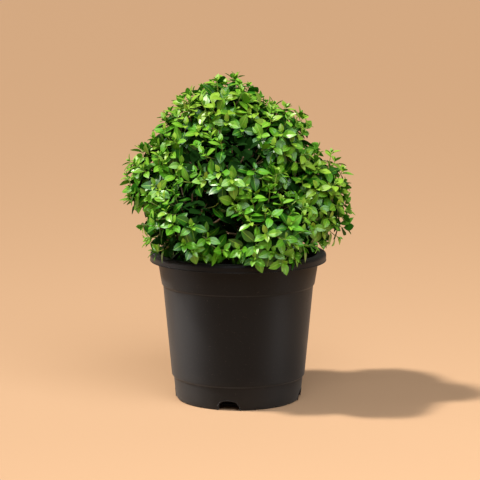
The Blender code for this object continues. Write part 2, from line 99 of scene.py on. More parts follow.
def new_mesh(name, verts, faces, slots=None):
    """A mesh from an array of points and face arrays, each with its own count of corners."""
    mesh = bpy.data.meshes.new(name)
    corners = np.concatenate([np.ravel(block) for block in faces])
    totals = np.concatenate([np.full(len(block), np.shape(block)[1]) for block in faces])
    mesh.vertices.add(len(verts))
    mesh.vertices.foreach_set("co", np.float32(verts).ravel())
    mesh.loops.add(len(corners))
    mesh.loops.foreach_set("vertex_index", np.int32(corners))
    mesh.polygons.add(len(totals))
    mesh.polygons.foreach_set("loop_start", np.int32(np.cumsum(totals) - totals))
    if slots is not None:
        mesh.polygons.foreach_set("material_index", np.int32(slots))
    mesh.update(calc_edges=True)
    mesh.validate()
    return mesh


def linked(name, data):
    """A new object for some data, linked to the scene."""
    item = bpy.data.objects.new(name, data)
    bpy.context.scene.collection.objects.link(item)
    return item


def add_piece(name, mesh, materials, sharp=180.0):
    """An object for a mesh, shaded smooth but for edges sharper than an angle in degrees."""
    for material in materials:
        mesh.materials.append(material)
    mesh.shade_smooth()
    mesh.set_sharp_from_angle(angle=math.radians(sharp))
    return linked(name, mesh)


def unit(vectors):
    """Vectors scaled to length 1."""
    return vectors / np.linalg.norm(vectors, axis=-1, keepdims=True)


def rounded(points, radius, steps=4):
    """A section whose inner corners become quadratic curves that start and end `radius` from them, or
    0.45 of a side if that is less, with the corners as control points."""
    points = np.asarray(points, dtype=float)
    corner = points[1:-1, None]
    sides = np.stack([points[:-2, None] - corner, points[2:, None] - corner])
    lengths = np.linalg.norm(sides, axis=-1, keepdims=True)
    start, end = corner + sides / lengths * np.minimum(radius, 0.45 * lengths.min(axis=0))
    t = np.linspace(0.0, 1.0, steps + 1)[None, :, None]
    arcs = start * (1 - t) ** 2 + 2 * corner * t * (1 - t) + end * t**2
    return np.concatenate([points[:1], arcs.reshape(-1, 2), points[-1:]])


def closer(line, longest):
    """A line with points added evenly along it, so that no stretch is longer than `longest`."""
    lengths = np.linalg.norm(np.diff(line, axis=0), axis=1)
    along = np.concatenate([[0.0], np.cumsum(lengths)])
    parts = np.maximum(1, np.ceil(lengths / longest)).astype(int)
    extra = [np.linspace(a, b, n, endpoint=False) for a, b, n in zip(along, along[1:], parts)]
    places = np.concatenate([*extra, along[-1:]])
    return np.stack([np.interp(places, along, line[:, i]) for i in range(line.shape[1])], axis=1)


def turned_grid(section, sides):
    """A section (radius, height) turned about Z. Its first and last points lie on the axis and become
    single poles. Returns points and faces."""
    angle = np.linspace(0.0, 2.0 * np.pi, sides, endpoint=False)
    radius, height = section[1:-1, :1], section[1:-1, 1:]
    rings = np.stack([radius * np.cos(angle), radius * np.sin(angle), height + 0.0 * angle], axis=2)
    poles = np.array([[0.0, 0.0, section[0, 1]], [0.0, 0.0, section[-1, 1]]])
    rows = len(section) - 2
    index = np.arange(rows * sides).reshape(rows, sides)
    after = np.roll(index, -1, axis=1)
    quads = np.stack([index[:-1], index[1:], after[1:], after[:-1]], axis=2).reshape(-1, 4)
    first = np.full(sides, rows * sides)
    starts = np.stack([first, index[0], after[0]], axis=1)
    ends = np.stack([first + 1, after[-1], index[-1]], axis=1)
    return np.concatenate([rings.reshape(-1, 3), poles]), [quads, starts, ends]


def pot_section():
    """The wall's section: up the inside from the middle of the floor, over the rim and down outside."""
    floor_top = RECESS + WALL
    collar_top = POT_HEIGHT - RIM_DROP
    shoulder = collar_top - COLLAR_HEIGHT
    inner_top = COLLAR_RADIUS - WALL
    inside = [
        (0.0, floor_top),
        (FOOT_RADIUS - 3.2 * WALL, floor_top),
        (FOOT_RADIUS - WALL, floor_top + FOOT_ROUNDING),
        (HEEL_RADIUS - HEEL_STEP - WALL, FOOT_HEIGHT + HEEL_STEP),
        (HEEL_RADIUS - WALL, FOOT_HEIGHT + 2.0 * HEEL_STEP),
        (SHOULDER_RADIUS - SHOULDER_STEP - WALL, shoulder + WALL),
        (SHOULDER_RADIUS - WALL, shoulder + 2.0 * WALL),
        (inner_top, POT_HEIGHT - 0.6 * WALL),
    ]
    rim = [
        (inner_top + 0.8 * WALL, POT_HEIGHT),
        (RIM_RADIUS - 1.8 * WALL, POT_HEIGHT),
        (RIM_RADIUS - 0.5 * WALL, POT_HEIGHT - 0.6 * WALL),
        (RIM_RADIUS, POT_HEIGHT - 2.0 * WALL),
        (RIM_RADIUS - 0.25 * WALL, collar_top + RIM_GROOVE_HEIGHT),
        (RIM_RADIUS, collar_top + RIM_BEAD_HEIGHT),
        (RIM_RADIUS - 0.1 * WALL, collar_top),
        (RIM_RADIUS - WALL, collar_top),
        (RIM_RADIUS - WALL, POT_HEIGHT - 1.4 * WALL),
        (COLLAR_RADIUS + 0.4 * WALL, POT_HEIGHT - 1.2 * WALL),
    ]
    outside = [
        (COLLAR_RADIUS, collar_top),
        (SHOULDER_RADIUS, shoulder + 0.4 * SHOULDER_STEP),
        (SHOULDER_RADIUS - SHOULDER_STEP, shoulder - 0.6 * SHOULDER_STEP),
        (HEEL_RADIUS, FOOT_HEIGHT + HEEL_STEP),
        (HEEL_RADIUS - HEEL_STEP, FOOT_HEIGHT),
        (FOOT_RADIUS, FOOT_ROUNDING),
        (FOOT_RADIUS - FOOT_TUCK, 0.35 * FOOT_ROUNDING),
        (STAND_RADIUS, 0.0),
        (STAND_RADIUS - STAND_WIDTH, 0.0),
        (STAND_RADIUS - STAND_WIDTH - RECESS, RECESS),
        (DISC_RADIUS + RECESS, RECESS),
        (DISC_RADIUS, 0.0),
        (0.0, 0.0),
    ]
    return inside + rim + outside


def arch_outline(grown, full):
    """(sideways, height) along an arch: a squared ellipse, grown by an offset. `full` is all of it with
    no point on the ground, for a cutter. Otherwise it is the half above the ground."""
    angle = np.linspace(0.0, 2.0 * np.pi if full else np.pi, ARCH_POINTS, endpoint=not full)
    angle += math.pi / ARCH_POINTS * full
    power = 2.0 / ARCH_SQUARENESS
    wide, high = (np.sign(wave) * np.abs(wave) ** power for wave in (np.cos(angle), np.sin(angle)))
    return wide * (ARCH_WIDTH / 2.0 + grown), high * (ARCH_HEIGHT + grown)


def about_z(points, turn):
    """The points turned about Z by an angle."""
    c, s = math.cos(turn), math.sin(turn)
    return points @ np.array([[c, s, 0.0], [-s, c, 0.0], [0.0, 0.0, 1.0]])


def joined(parts):
    """Several (points, faces) bodies as one, each one's face numbers raised by the points before it."""
    counts = np.cumsum([0] + [len(points) for points, _ in parts])
    faces = [np.asarray(block) + count for count, (_, blocks) in zip(counts, parts) for block in blocks]
    return np.concatenate([points for points, _ in parts]), faces


def tube_grid(paths, radii, sides):
    """Tubes with a ring of points round each path point, on two directions square to the path. Paths
    is (tubes, points, 3), and radii may differ round the rings. Returns points and faces."""
    tubes, count = paths.shape[:2]
    tangent = unit(np.gradient(paths, axis=1))
    lowest = np.argmin(np.abs(paths[:, -1] - paths[:, 0]), axis=1)
    across = unit(np.cross(tangent, np.eye(3)[lowest][:, None]))
    over = np.cross(tangent, across)
    angle = np.linspace(0.0, 2.0 * np.pi, sides, endpoint=False)
    radii = radii if radii.ndim == 3 else radii[:, :, None]
    ring = across[:, :, None] * np.cos(angle)[:, None] + over[:, :, None] * np.sin(angle)[:, None]
    verts = paths[:, :, None] + ring * radii[..., None]
    index = np.arange(tubes * count * sides).reshape(tubes, count, sides)
    after = np.roll(index, -1, axis=2)
    quads = np.stack([index[:, :-1], after[:, :-1], after[:, 1:], index[:, 1:]], axis=3)
    return verts.reshape(-1, 3), [quads.reshape(-1, 4), index[:, 0, ::-1], index[:, -1]]


def arch_lip(turn):
    """The raised lip round one arch: a thin tube along it, half sunk in the foot band, whose radius
    grows evenly from its rounded edge to the heel step."""
    side, height = arch_outline(ARCH_LIP_OFFSET, full=False)
    height = np.maximum(height, ARCH_LIP_LOWEST)
    share = (np.maximum(height, 0.4 * FOOT_ROUNDING) - FOOT_ROUNDING) / (FOOT_HEIGHT - FOOT_ROUNDING)
    radius = FOOT_RADIUS + share * (HEEL_RADIUS - HEEL_STEP - FOOT_RADIUS) - 0.3 * ARCH_LIP_RADIUS
    line = np.stack([radius * np.cos(side / radius), radius * np.sin(side / radius), height], axis=1)
    return tube_grid(about_z(line, turn)[None], np.full((1, ARCH_POINTS), ARCH_LIP_RADIUS), 8)


def foot_cutter(outline, inner, turn):
    """The prism that cuts a hole: an outline (sideways, height) from an inner radius to the rim's."""
    count = len(outline[0])
    near = np.stack([np.full(count, inner), *outline], axis=1)
    far = near + np.array([RIM_RADIUS - inner, 0.0, 0.0])
    ring = np.arange(count)
    after = np.roll(ring, -1)
    sides = np.stack([ring, after, after + count, ring + count], axis=1)
    return about_z(np.concatenate([near, far]), turn), [sides, ring[None, ::-1], ring[None] + count]


def cut_or_joined(piece, tool, operation):
    """Applies one Boolean with a tool body to a piece, and removes the tool."""
    modifier = piece.modifiers.new("Shape", "BOOLEAN")
    modifier.operation = operation
    modifier.object = tool
    graph = bpy.context.evaluated_depsgraph_get()
    mesh = bpy.data.meshes.new_from_object(piece.evaluated_get(graph))
    piece.modifiers.clear()
    piece.data = mesh
    bpy.data.objects.remove(tool, do_unlink=True)


def material_of(name, colour, roughness):
    """A Principled material and its shader, with one base colour and roughness to start from."""
    material = bpy.data.materials.new(name)
    material.use_nodes = True
    shader = material.node_tree.nodes["Principled BSDF"]
    shader.inputs["Base Color"].default_value = (*colour, 1.0)
    shader.inputs["Roughness"].default_value = roughness
    material.diffuse_color = (*colour, 1.0)
    return material, shader


def add_node(tree, kind, inputs, **settings):
    """A shader node of a kind, with its settings and its inputs' values or links by name or number."""
    node = tree.nodes.new("ShaderNode" + kind)
    for name, value in settings.items():
        setattr(node, name, value)
    for name, value in inputs.items():
        if isinstance(value, bpy.types.NodeSocket):
            tree.links.new(value, node.inputs[name])
        else:
            node.inputs[name].default_value = value
    return node


def noise(tree, vector, scale, detail=3.0, roughness=0.5):
    """The value of a noise texture, with a scale in lumps for each metre."""
    inputs = {"Vector": vector, "Scale": scale, "Detail": detail, "Roughness": roughness}
    return add_node(tree, "TexNoise", inputs).outputs["Fac"]


def stretched(tree, vector, by):
    """The coordinates multiplied along each axis, so that a pattern on them is drawn out."""
    return add_node(tree, "Mapping", {"Vector": vector, "Scale": by}).outputs["Vector"]


def ranged(tree, value, low, high, to_low=0.0, to_high=1.0):
    """A value moved from one range to another, and kept in it."""
    inputs = {"Value": value, "From Min": low, "From Max": high, "To Min": to_low, "To Max": to_high}
    return add_node(tree, "MapRange", inputs).outputs["Result"]


def mixed(tree, share, one, other):
    """A colour between two, by a share from 0 to 1. Each colour may be a socket."""
    one, other = ((*colour, 1.0) if isinstance(colour, tuple) else colour for colour in (one, other))
    return add_node(tree, "Mix", {0: share, 6: one, 7: other}, data_type="RGBA").outputs[2]


def object_space(material):
    """A material's node tree, and its object's own coordinates, on which all patterns lie."""
    tree = material.node_tree
    return tree, add_node(tree, "TexCoord", {}).outputs["Object"]


def combined(tree, operation, *values):
    """The result of one operation on up to three values."""
    return add_node(tree, "Math", dict(enumerate(values)), operation=operation).outputs[0]


def finish_with(tree, shader, colour, roughness, height, strength, depth):
    """Joins a colour, a roughness and a height to a shader, the height as bump of a depth in metres."""
    bump = add_node(tree, "Bump", {"Height": height, "Strength": strength, "Distance": depth})
    ends = {"Base Color": colour, "Roughness": roughness, "Normal": bump.outputs["Normal"]}
    for name, value in ends.items():
        tree.links.new(value, shader.inputs[name])


def pot_plastic():
    """Black plastic off the mould: satin grain, faint marks down the wall, dust near the foot."""
    material, shader = material_of("black_pot_plastic", PLASTIC_BLACK, 0.4)
    shader.inputs["Specular IOR Level"].default_value = 0.12
    shader.inputs["Sheen Weight"].default_value = 0.09
    shader.inputs["Sheen Roughness"].default_value = 0.5
    tree, place = object_space(material)
    height = add_node(tree, "SeparateXYZ", {0: place}).outputs["Z"]
    clouds = noise(tree, place, 28.0, 5.0, 0.6)
    specks = noise(tree, place, 420.0, 2.0)
    marks = noise(tree, stretched(tree, place, (260.0, 260.0, 14.0)), 1.0, 2.0)
    grain = noise(tree, place, 1500.0, 2.0)
    dusty = combined(tree, "MULTIPLY", clouds, ranged(tree, height, 0.0, DUST_HEIGHT, 1.0, 0.0))
    dust = combined(tree, "MAXIMUM", dusty, ranged(tree, specks, 0.66, 0.72))
    share = ranged(tree, dust, 0.15, 1.0, 0.0, 0.22)
    colour = mixed(tree, share, PLASTIC_BLACK, PLASTIC_DUST)
    rough = combined(tree, "ADD", ranged(tree, clouds, 0.3, 0.7, 0.42, 0.5), share)
    relief = combined(tree, "MULTIPLY_ADD", marks, 0.5, grain)
    finish_with(tree, shader, colour, rough, relief, 0.35, 0.00012)
    return material


section = closer(rounded(pot_section(), EDGE_ROUNDING), POT_ROW)
points, faces = turned_grid(section, POT_SIDES)
# The thin wall is a little out of round, and more so towards the rim.
around = np.arctan2(points[:, 1], points[:, 0])
bulge = FLEX * (np.cos(2.0 * around + 0.7) + 0.6 * np.cos(3.0 * around + 2.1) - 1.6)
bulge *= np.clip(points[:, 2] / POT_HEIGHT, 0.0, 1.0)
points[:, :2] *= 1.0 + bulge[:, None] / RIM_RADIUS
pot = add_piece("pot_shell", new_mesh("pot_shell", points, faces), [pot_plastic()])
turns = ARCH_FIRST_ANGLE + np.arange(ARCH_COUNT) * 2.0 * math.pi / ARCH_COUNT
lips = add_piece("arch_lips", new_mesh("lips", *joined([arch_lip(turn) for turn in turns])), [])
cut_or_joined(pot, lips, "UNION")
arch = arch_outline(0.0, full=True)
slot = SLOT_WIDTH / 2.0 * np.array([-1, 1, 1, -1]), SLOT_HEIGHT * np.array([-1, -1, 1, 1])
slot_inner = STAND_RADIUS - 2.0 * STAND_WIDTH
tools = [foot_cutter(arch, ARCH_INNER_RADIUS, turn) for turn in turns]
tools += [foot_cutter(slot, slot_inner, turn + offset) for turn in turns for offset in SLOT_OFFSETS]
cut_or_joined(pot, add_piece("arch_tools", new_mesh("tools", *joined(tools)), []), "DIFFERENCE")
pot.data.set_sharp_from_angle(angle=math.radians(40.0))
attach(pot, "root")
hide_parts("pot")

# --- Soil ----------------------------------------------------------------
# Dark potting mix of peat and shredded bark that fills the pot to below the rim, mounded a little
# round the stem. Loose crumbs and bark chips lie on it.

GAP = 0.0003
SOIL_TOP = 0.18
SOIL_MOUND = 0.004
SOIL_FLAT_RADIUS = 0.024
SOIL_FOOT_RADIUS = 0.06
SOIL_EDGE = 0.004
SOIL_GAP = 0.0006
SOIL_FLOOR = RECESS + WALL + GAP
SOIL_SEED = 11
SOIL_LUMP = 0.0012
SOIL_SIDES = 160
SOIL_ROW = 0.0022
SOIL_TONES = (0.02, 0.012, 0.007), (0.07, 0.043, 0.026)
SOIL_WAVES = ((1.0, (0.006, 0.02), 24), (0.7, (0.0022, 0.006), 48))
# How many bits, their least and largest size, its share along each axis, how nearly flat they lie
# from 0 to 1, and their dark and light tone.
LOOSE_BITS = {
    "soil_crumbs":
        (1100, (0.0011, 0.0028), (1.0, 0.85, 0.8), 0.0, (0.018, 0.011, 0.007), (0.06, 0.038, 0.024)),
    "bark_chips":
        (260, (0.003, 0.0075), (1.0, 0.42, 0.2), 0.65, (0.04, 0.022, 0.012), (0.15, 0.088, 0.048)),
}


def lumps(x, y, sizes, waves, dice):
    """Relief between -1 and 1: the mean of sine waves over the plane, with random headings, phases and
    wavelengths."""
    heading = dice.uniform(0.0, 2.0 * np.pi, waves)
    phase = dice.uniform(0.0, 2.0 * np.pi, waves)
    pitch = 2.0 * np.pi / dice.uniform(*sizes, waves)
    swing = (x[..., None] * np.cos(heading) + y[..., None] * np.sin(heading)) * pitch + phase
    return np.clip(np.sin(swing).sum(axis=-1) / np.sqrt(waves / 2.0), -2.0, 2.0) / 2.0


def soil_height(radius):
    """Height of the mix at a radius: level by the wall, rising to a low mound at the stem."""
    steps = [SOIL_FLAT_RADIUS, 2.4 * SOIL_FLAT_RADIUS, COLLAR_RADIUS - WALL]
    return np.interp(radius, steps, [SOIL_TOP + SOIL_MOUND, SOIL_TOP + 0.7 * SOIL_MOUND, SOIL_TOP])


def as_turns(matrices):
    """The rotation that each matrix's QR parts give, with mirrored ones turned the right way round."""
    turns, _ = np.linalg.qr(matrices)
    return turns * np.linalg.det(turns)[:, None, None]


def loose_bits(places, sizes, squash, level, dice):
    """Broken lumps: a twelve-cornered ball, each copy stretched by its own sizes, its corners pushed
    about, turned and set at its place. Returns points and faces."""
    golden = (1.0 + math.sqrt(5.0)) / 2.0
    oblong = np.array([(s, t * golden, 0.0) for s in (-1, 1) for t in (-1, 1)])
    ball = np.concatenate([np.roll(oblong, axis, axis=1) for axis in range(3)]) / math.hypot(1.0, golden)
    near = np.linalg.norm(ball[:, None] - ball[None], axis=2) < 1.2
    faces = [
        (i, j, k) if np.linalg.det(ball[[i, j, k]]) > 0 else (i, k, j)
        for i, j, k in itertools.combinations(range(12), 3)
        if near[i, j] and near[j, k] and near[i, k]
    ]
    count = len(places)
    jitter = dice.uniform(0.72, 1.25, (count, 12, 1))
    stretch = sizes[:, None, None] * np.array(squash) * dice.uniform(0.7, 1.3, (count, 1, 3))
    turn = as_turns(dice.normal(size=(count, 3, 3)))
    heading = dice.uniform(0.0, 2.0 * np.pi, count)
    flat = np.zeros((count, 3, 3)) + np.eye(3)
    flat[:, 0, 0] = flat[:, 1, 1] = np.cos(heading)
    flat[:, 0, 1], flat[:, 1, 0] = np.sin(heading), -np.sin(heading)
    turn = as_turns(level * flat + (1.0 - level) * turn)
    points = (ball * jitter * stretch) @ turn + places[:, None]
    index = np.array(faces) + 12 * np.arange(count)[:, None, None]
    return points.reshape(-1, 3), [index.reshape(-1, 3)]


def potting_mix(name, dark, light, grain):
    """Damp potting mix: colour and bump from two sizes of noise, matt all over."""
    material, shader = material_of(name, dark, 0.95)
    tree, place = object_space(material)
    colour = mixed(tree, ranged(tree, noise(tree, place, grain, 4.0, 0.7), 0.35, 0.7), dark, light)
    fine = noise(tree, place, 3.0 * grain)
    finish_with(tree, shader, colour, ranged(tree, fine, 0.3, 0.7, 0.8, 1.0), fine, 0.8, 0.0008)
    return material


dice = np.random.default_rng(SOIL_SEED)
wall_inside = np.array(pot_section()[1:8])
side_heights = np.array([SOIL_TOP - SOIL_EDGE, *wall_inside[5:2:-1, 1]])
reaches = np.interp([SOIL_TOP, *side_heights], wall_inside[:, 1], wall_inside[:, 0]) - SOIL_GAP
top_edge = reaches[0]
rings = np.arange(SOIL_ROW, top_edge - 0.5 * SOIL_ROW, SOIL_ROW)
section = np.concatenate([
    [(0.0, soil_height(0.0))],
    np.stack([rings, soil_height(rings)], axis=1),
    np.stack([reaches, [SOIL_TOP, *side_heights]], axis=1),
    [(SOIL_FOOT_RADIUS, SOIL_FLOOR), (0.0, SOIL_FLOOR)],
])
points, faces = turned_grid(section, SOIL_SIDES)
# Only the top is lumpy, and level again where it meets the wall.
radius = np.hypot(points[:, 0], points[:, 1])
free = (points[:, 2] > SOIL_TOP - SOIL_LUMP) * np.clip((top_edge - radius) / SOIL_EDGE, 0.0, 1.0)
relief = sum(share * lumps(*points[:, :2].T, sizes, waves, dice) for share, sizes, waves in SOIL_WAVES)
points[:, 2] += SOIL_LUMP * relief * free
soil_finish = potting_mix("potting_mix", *SOIL_TONES, 260.0)
soil = add_piece("potting_mix", new_mesh("potting_mix", points, faces), [soil_finish], 60.0)
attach(soil, "root")
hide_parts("soil")

for name, (count, sizes, squash, level, dark, light) in LOOSE_BITS.items():
    reach = (top_edge - 0.5 * sizes[1]) * np.sqrt(dice.uniform(0.012, 1.0, count))
    bearing = dice.uniform(0.0, 2.0 * np.pi, count)
    size = dice.uniform(0.5 * sizes[0], 0.5 * sizes[1], count)
    height = soil_height(reach) + 0.3 * size
    places = np.stack([reach * np.cos(bearing), reach * np.sin(bearing), height], axis=1)
    points, faces = loose_bits(places, size, squash, level, dice)
    bits = add_piece(name, new_mesh(name, points, faces), [potting_mix(name, dark, light, 420.0)], 50.0)
    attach(bits, "root")

# --- Trunk and boughs ----------------------------------------------------
# One short woody trunk that flares at the soil and leans a little, with a limb to each mass of
# foliage. Thin grey-brown bark, furrowed lengthwise. One mesh holds them all.

TRUNK_FOOT = SOIL_TOP + SOIL_MOUND + GAP
TRUNK_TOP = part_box("trunk")[1].z
TRUNK_LEAN = np.array([-0.015, 0.002, 0.0])
TRUNK_RADIUS = 0.0078
TRUNK_TIP_RADIUS = 0.003
TRUNK_FLARE = 0.0062
TRUNK_FLARE_HEIGHT = 0.0064
BOUGH_BASE_RADIUS = 0.0034
BOUGH_TIP_RADIUS = 0.0022
BOUGH_RISE = 0.75
BOUGH_BEND = 0.45
BOUGH_COLLAR = 0.0022
BOUGH_COLLAR_LENGTH = 0.006
DOOR_SHARE = 0.7
BARK_SEED = 5
BARK_FURROW = 0.075
BARK_DRIFT = 260.0
TRUNK_SIDES = 72
TRUNK_ROWS = 180
TRUNK_CROWDING = 1.3
TRUNK_WAVES = 26
BOUGH_SIDES = 30
BOUGH_ROWS = 64
BOUGH_WAVES = 12

# Each mass of foliage: its azimuth in degrees from the right, distance from the pot's axis, height,
# half width and half height, and the height at which its bough leaves the trunk.
MASSES = {
    "foliage_peak": (180.0, 0.016, 0.401, 0.068, 0.067, TRUNK_TOP),
    "foliage_shoulder_left": (185.0, 0.067, 0.36, 0.069, 0.071, 0.285),
    "foliage_shoulder_right": (-10.0, 0.046, 0.362, 0.069, 0.071, 0.29),
    "foliage_shoulder_front": (-98.0, 0.07, 0.328, 0.074, 0.072, 0.272),
    "foliage_shoulder_back": (95.0, 0.062, 0.352, 0.069, 0.07, 0.28),
    "foliage_left": (185.0, 0.1, 0.302, 0.067, 0.071, 0.24),
    "foliage_right": (-6.0, 0.097, 0.288, 0.067, 0.078, 0.232),
    "foliage_front_left": (-128.0, 0.104, 0.26, 0.07, 0.066, 0.222),
    "foliage_front_right": (-68.0, 0.102, 0.258, 0.073, 0.064, 0.226),
    "foliage_back_left": (125.0, 0.102, 0.272, 0.069, 0.069, 0.228),
    "foliage_back_right": (55.0, 0.102, 0.272, 0.069, 0.069, 0.22),
}


def trunk_point(height):
    """The trunk's centre line: it starts upright and leans over with the square of the share risen."""
    height = np.asarray(height, dtype=float)
    share = (height - TRUNK_FOOT) / (TRUNK_TOP - TRUNK_FOOT)
    upright = np.stack([0.0 * height, 0.0 * height, height], axis=-1)
    return upright + TRUNK_LEAN * share[..., None] ** 2


def trunk_radius(height):
    """The trunk's straight taper, with the root flare added as a short exponential at its foot."""
    share = (height - TRUNK_FOOT) / (TRUNK_TOP - TRUNK_FOOT)
    taper = TRUNK_RADIUS + share * (TRUNK_TIP_RADIUS - TRUNK_RADIUS)
    return taper + TRUNK_FLARE * np.exp(-(height - TRUNK_FOOT) / TRUNK_FLARE_HEIGHT)


class Mass:
    """The space of one mass of foliage and the limb that carries it."""

    def __init__(self, name, azimuth, distance, height, half_width, half_height, fork):
        turn = math.radians(azimuth)
        self.name = name
        self.centre = np.array([distance * math.cos(turn), distance * math.sin(turn), height])
        self.radii = np.array([half_width, half_width, half_height])
        self.fork = trunk_point(fork)
        self.on_trunk = fork == TRUNK_TOP
        inward = self.fork - self.centre
        if not self.on_trunk:
            inward[2] = -BOUGH_RISE * np.hypot(inward[0], inward[1])
        self.inward = unit(inward)
        self.door = self.fork
        if not self.on_trunk:
            self.door = self.centre + self.inward * DOOR_SHARE * self.extent(self.inward)

    def extent(self, direction):
        """Distance from the centre to the skin of the mass's ellipsoid along unit directions."""
        return 1.0 / np.linalg.norm(direction / self.radii, axis=-1)

    def limb_line(self, count):
        """The bough's line: the quadratic curve out of the trunk that bends up to the mass's door."""
        t = np.linspace(0.0, 1.0, count)[:, None]
        bend = self.door + self.inward * BOUGH_BEND * np.linalg.norm(self.door - self.fork)
        return self.fork * (1 - t) ** 2 + bend * 2 * t * (1 - t) + self.door * t**2


def bark_relief(along, sides, waves, dice):
    """Share by which a limb's radius changes along it and round it: the sum of waves that go round a
    whole number of times and drift as they run along, folded so that furrows are narrow and sharp."""
    angle = np.linspace(0.0, 2.0 * np.pi, sides, endpoint=False)
    times = dice.integers(3, sides // 5, waves)
    pitch = dice.uniform(-BARK_DRIFT, BARK_DRIFT, waves)
    phase = dice.uniform(0.0, 2.0 * np.pi, waves)
    swing = angle[None, :, None] * times + along[:, None, None] * pitch + phase
    ridges = np.sin(swing).sum(axis=2) / math.sqrt(waves)
    swell = 0.6 * np.sin(angle[None] * 3 + along[:, None] * 60.0 + phase[0])
    return BARK_FURROW * (0.5 - np.abs(ridges)) + 0.6 * BARK_FURROW * swell


def bark_material():
    """Grey-brown bark: furrows darker than the ridges, patches of grey, fine bump drawn out upwards."""
    material, shader = material_of("jasmine_bark", (0.12, 0.08, 0.05), 0.85)
    tree, place = object_space(material)
    fibre = noise(tree, stretched(tree, place, (900.0, 900.0, 130.0)), 1.0, 4.0, 0.65)
    patches = ranged(tree, noise(tree, place, 90.0), 0.5, 0.7, 0.0, 0.6)
    brown = mixed(tree, ranged(tree, fibre, 0.35, 0.65), (0.06, 0.036, 0.02), (0.22, 0.15, 0.09))
    colour = mixed(tree, patches, brown, (0.23, 0.2, 0.16))
    finish_with(tree, shader, colour, ranged(tree, fibre, 0.3, 0.7, 0.9, 0.72), fibre, 0.7, 0.0005)
    return material


dice = np.random.default_rng(BARK_SEED)
masses = [Mass(name, *sizes) for name, sizes in MASSES.items()]
boughs = [mass for mass in masses if not mass.on_trunk]
along = np.linspace(0.0, 1.0, TRUNK_ROWS) ** TRUNK_CROWDING
heights = TRUNK_FOOT + (TRUNK_TOP - TRUNK_FOOT) * along
radii = trunk_radius(heights)[:, None] * (1.0 + bark_relief(heights, TRUNK_SIDES, TRUNK_WAVES, dice))
limbs = [tube_grid(trunk_point(heights)[None], radii[None], TRUNK_SIDES)]
for mass in boughs:
    line = mass.limb_line(BOUGH_ROWS)
    run = np.concatenate([[0.0], np.cumsum(np.linalg.norm(np.diff(line, axis=0), axis=1))])
    radii = np.interp(run, [0.0, run[-1]], [BOUGH_BASE_RADIUS, BOUGH_TIP_RADIUS])
    start = trunk_radius(mass.fork[2])
    radii += BOUGH_COLLAR * np.exp(-np.maximum(run - start, 0.0) / BOUGH_COLLAR_LENGTH)
    radii = radii[:, None] * (1.0 + bark_relief(run, BOUGH_SIDES, BOUGH_WAVES, dice))
    limbs.append(tube_grid(line[None], radii[None], BOUGH_SIDES))
bark = add_piece("bark", new_mesh("bark", *joined(limbs)), [bark_material()], 70.0)
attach(bark, "root")
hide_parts("trunk", *(mass.name.replace("foliage", "bough") for mass in boughs))

# --- Crown ---------------------------------------------------------------
# Evergreen foliage clipped to a dome, in eleven masses. From the tip of each limb a stem fans into
# twigs, these fork into shoots, and the shoots bear crossed pairs of glossy leaves, small at the tip.

UP = np.array([0.0, 0.0, 1.0])
CROWN_SEED = 7
CROWN_HEART = np.array([0.0, 0.0, 0.3])
EXPOSED_COSINE = -0.3
INNER_COSINE = -0.85
TWIG_DIRECTIONS = 48
SHOOT_DIRECTIONS = 80
SHOOT_REACHES = (1.0, 0.87, 0.74)
TWIG_REACHES = (1.0, 0.87, 0.74, 0.6, 0.46)
TWIG_LENGTHS = (0.6, 0.7)
STEM_LIFT = 0.5
LIFT = 0.62
MASS_DEPTH = 0.069
SKIN_BLEND = 13.0
SKIN_STEPS = np.linspace(0.8, 1.35, 56)
SKIN_DEPTH = 0.004
SHOOT_DEPTH = 0.034
LEAF_DEPTH = 0.11
CELL_SPILL = 0.012
SOIL_CLEARANCE = 0.004
RIM_CLEARANCE = 0.0012
STEM_RADIUS = 0.0022
TWIG_RADIUS = 0.0015
TWIG_TIP_RADIUS = 0.001
SHOOT_RADIUS = 0.0009
SHOOT_TIP_RADIUS = 0.0005
TWIG_SIDES = 5
LINE_POINTS = 9
SHOOT_PLAY = (0.9, 1.0)
SHOOT_STARTS = (0.45, 0.75)
STRAY_SHARE = 0.14
STRAY_REACH = 0.12
PROUD_REACH = 0.11
SWAY = 0.18
SCATTER = 0.05
GREEN_SHARE = 0.55
LEAF_LENGTH = 0.025
LEAF_PLUMPNESS = 0.52
LEAF_STALK = 0.1
LEAF_STALK_WIDTH = 0.07
LEAF_FULLNESS = 0.88
LEAF_ROUNDING = 0.16
LEAF_RIPPLE = 0.05
LEAF_THICKNESS = 0.00045
# Circles in the front view: how far to the right, height above the ground, and radius. Few shoots
# grow in hollows, nicks go right through, and in proud places shoots missed the last clipping.
HOLLOWS = (
    (-0.012, 0.376, 0.01), (0.014, 0.379, 0.011), (-0.063, 0.354, 0.014), (-0.01, 0.352, 0.013),
    (0.016, 0.354, 0.012), (0.042, 0.358, 0.007), (-0.065, 0.298, 0.012), (-0.04, 0.299, 0.013),
    (-0.038, 0.274, 0.013), (-0.012, 0.27, 0.012), (-0.012, 0.246, 0.006), (0.014, 0.245, 0.008),
    (0.012, 0.222, 0.005), (-0.092, 0.24, 0.011), (-0.076, 0.224, 0.009), (-0.09, 0.212, 0.014),
    (0.094, 0.243, 0.01),
)
NICKS = (
    (-0.121, 0.389, 0.01), (-0.136, 0.26, 0.013), (0.038, 0.445, 0.012), (0.11, 0.376, 0.015),
    (0.161, 0.316, 0.008), (0.134, 0.238, 0.006), (0.15, 0.24, 0.009), (-0.14, 0.378, 0.012),
)
PROUD_PLACES = (
    (-0.143, 0.345, 0.016), (-0.158, 0.322, 0.016), (-0.072, 0.43, 0.016), (0.118, 0.354, 0.016),
    (0.136, 0.33, 0.016), (0.158, 0.264, 0.016), (0.136, 0.226, 0.016), (-0.13, 0.238, 0.016),
)
HOLLOW_Y = -0.02
HOLLOW_DEPTH = 0.03
OLD_HOLLOW_DEPTH = 0.017
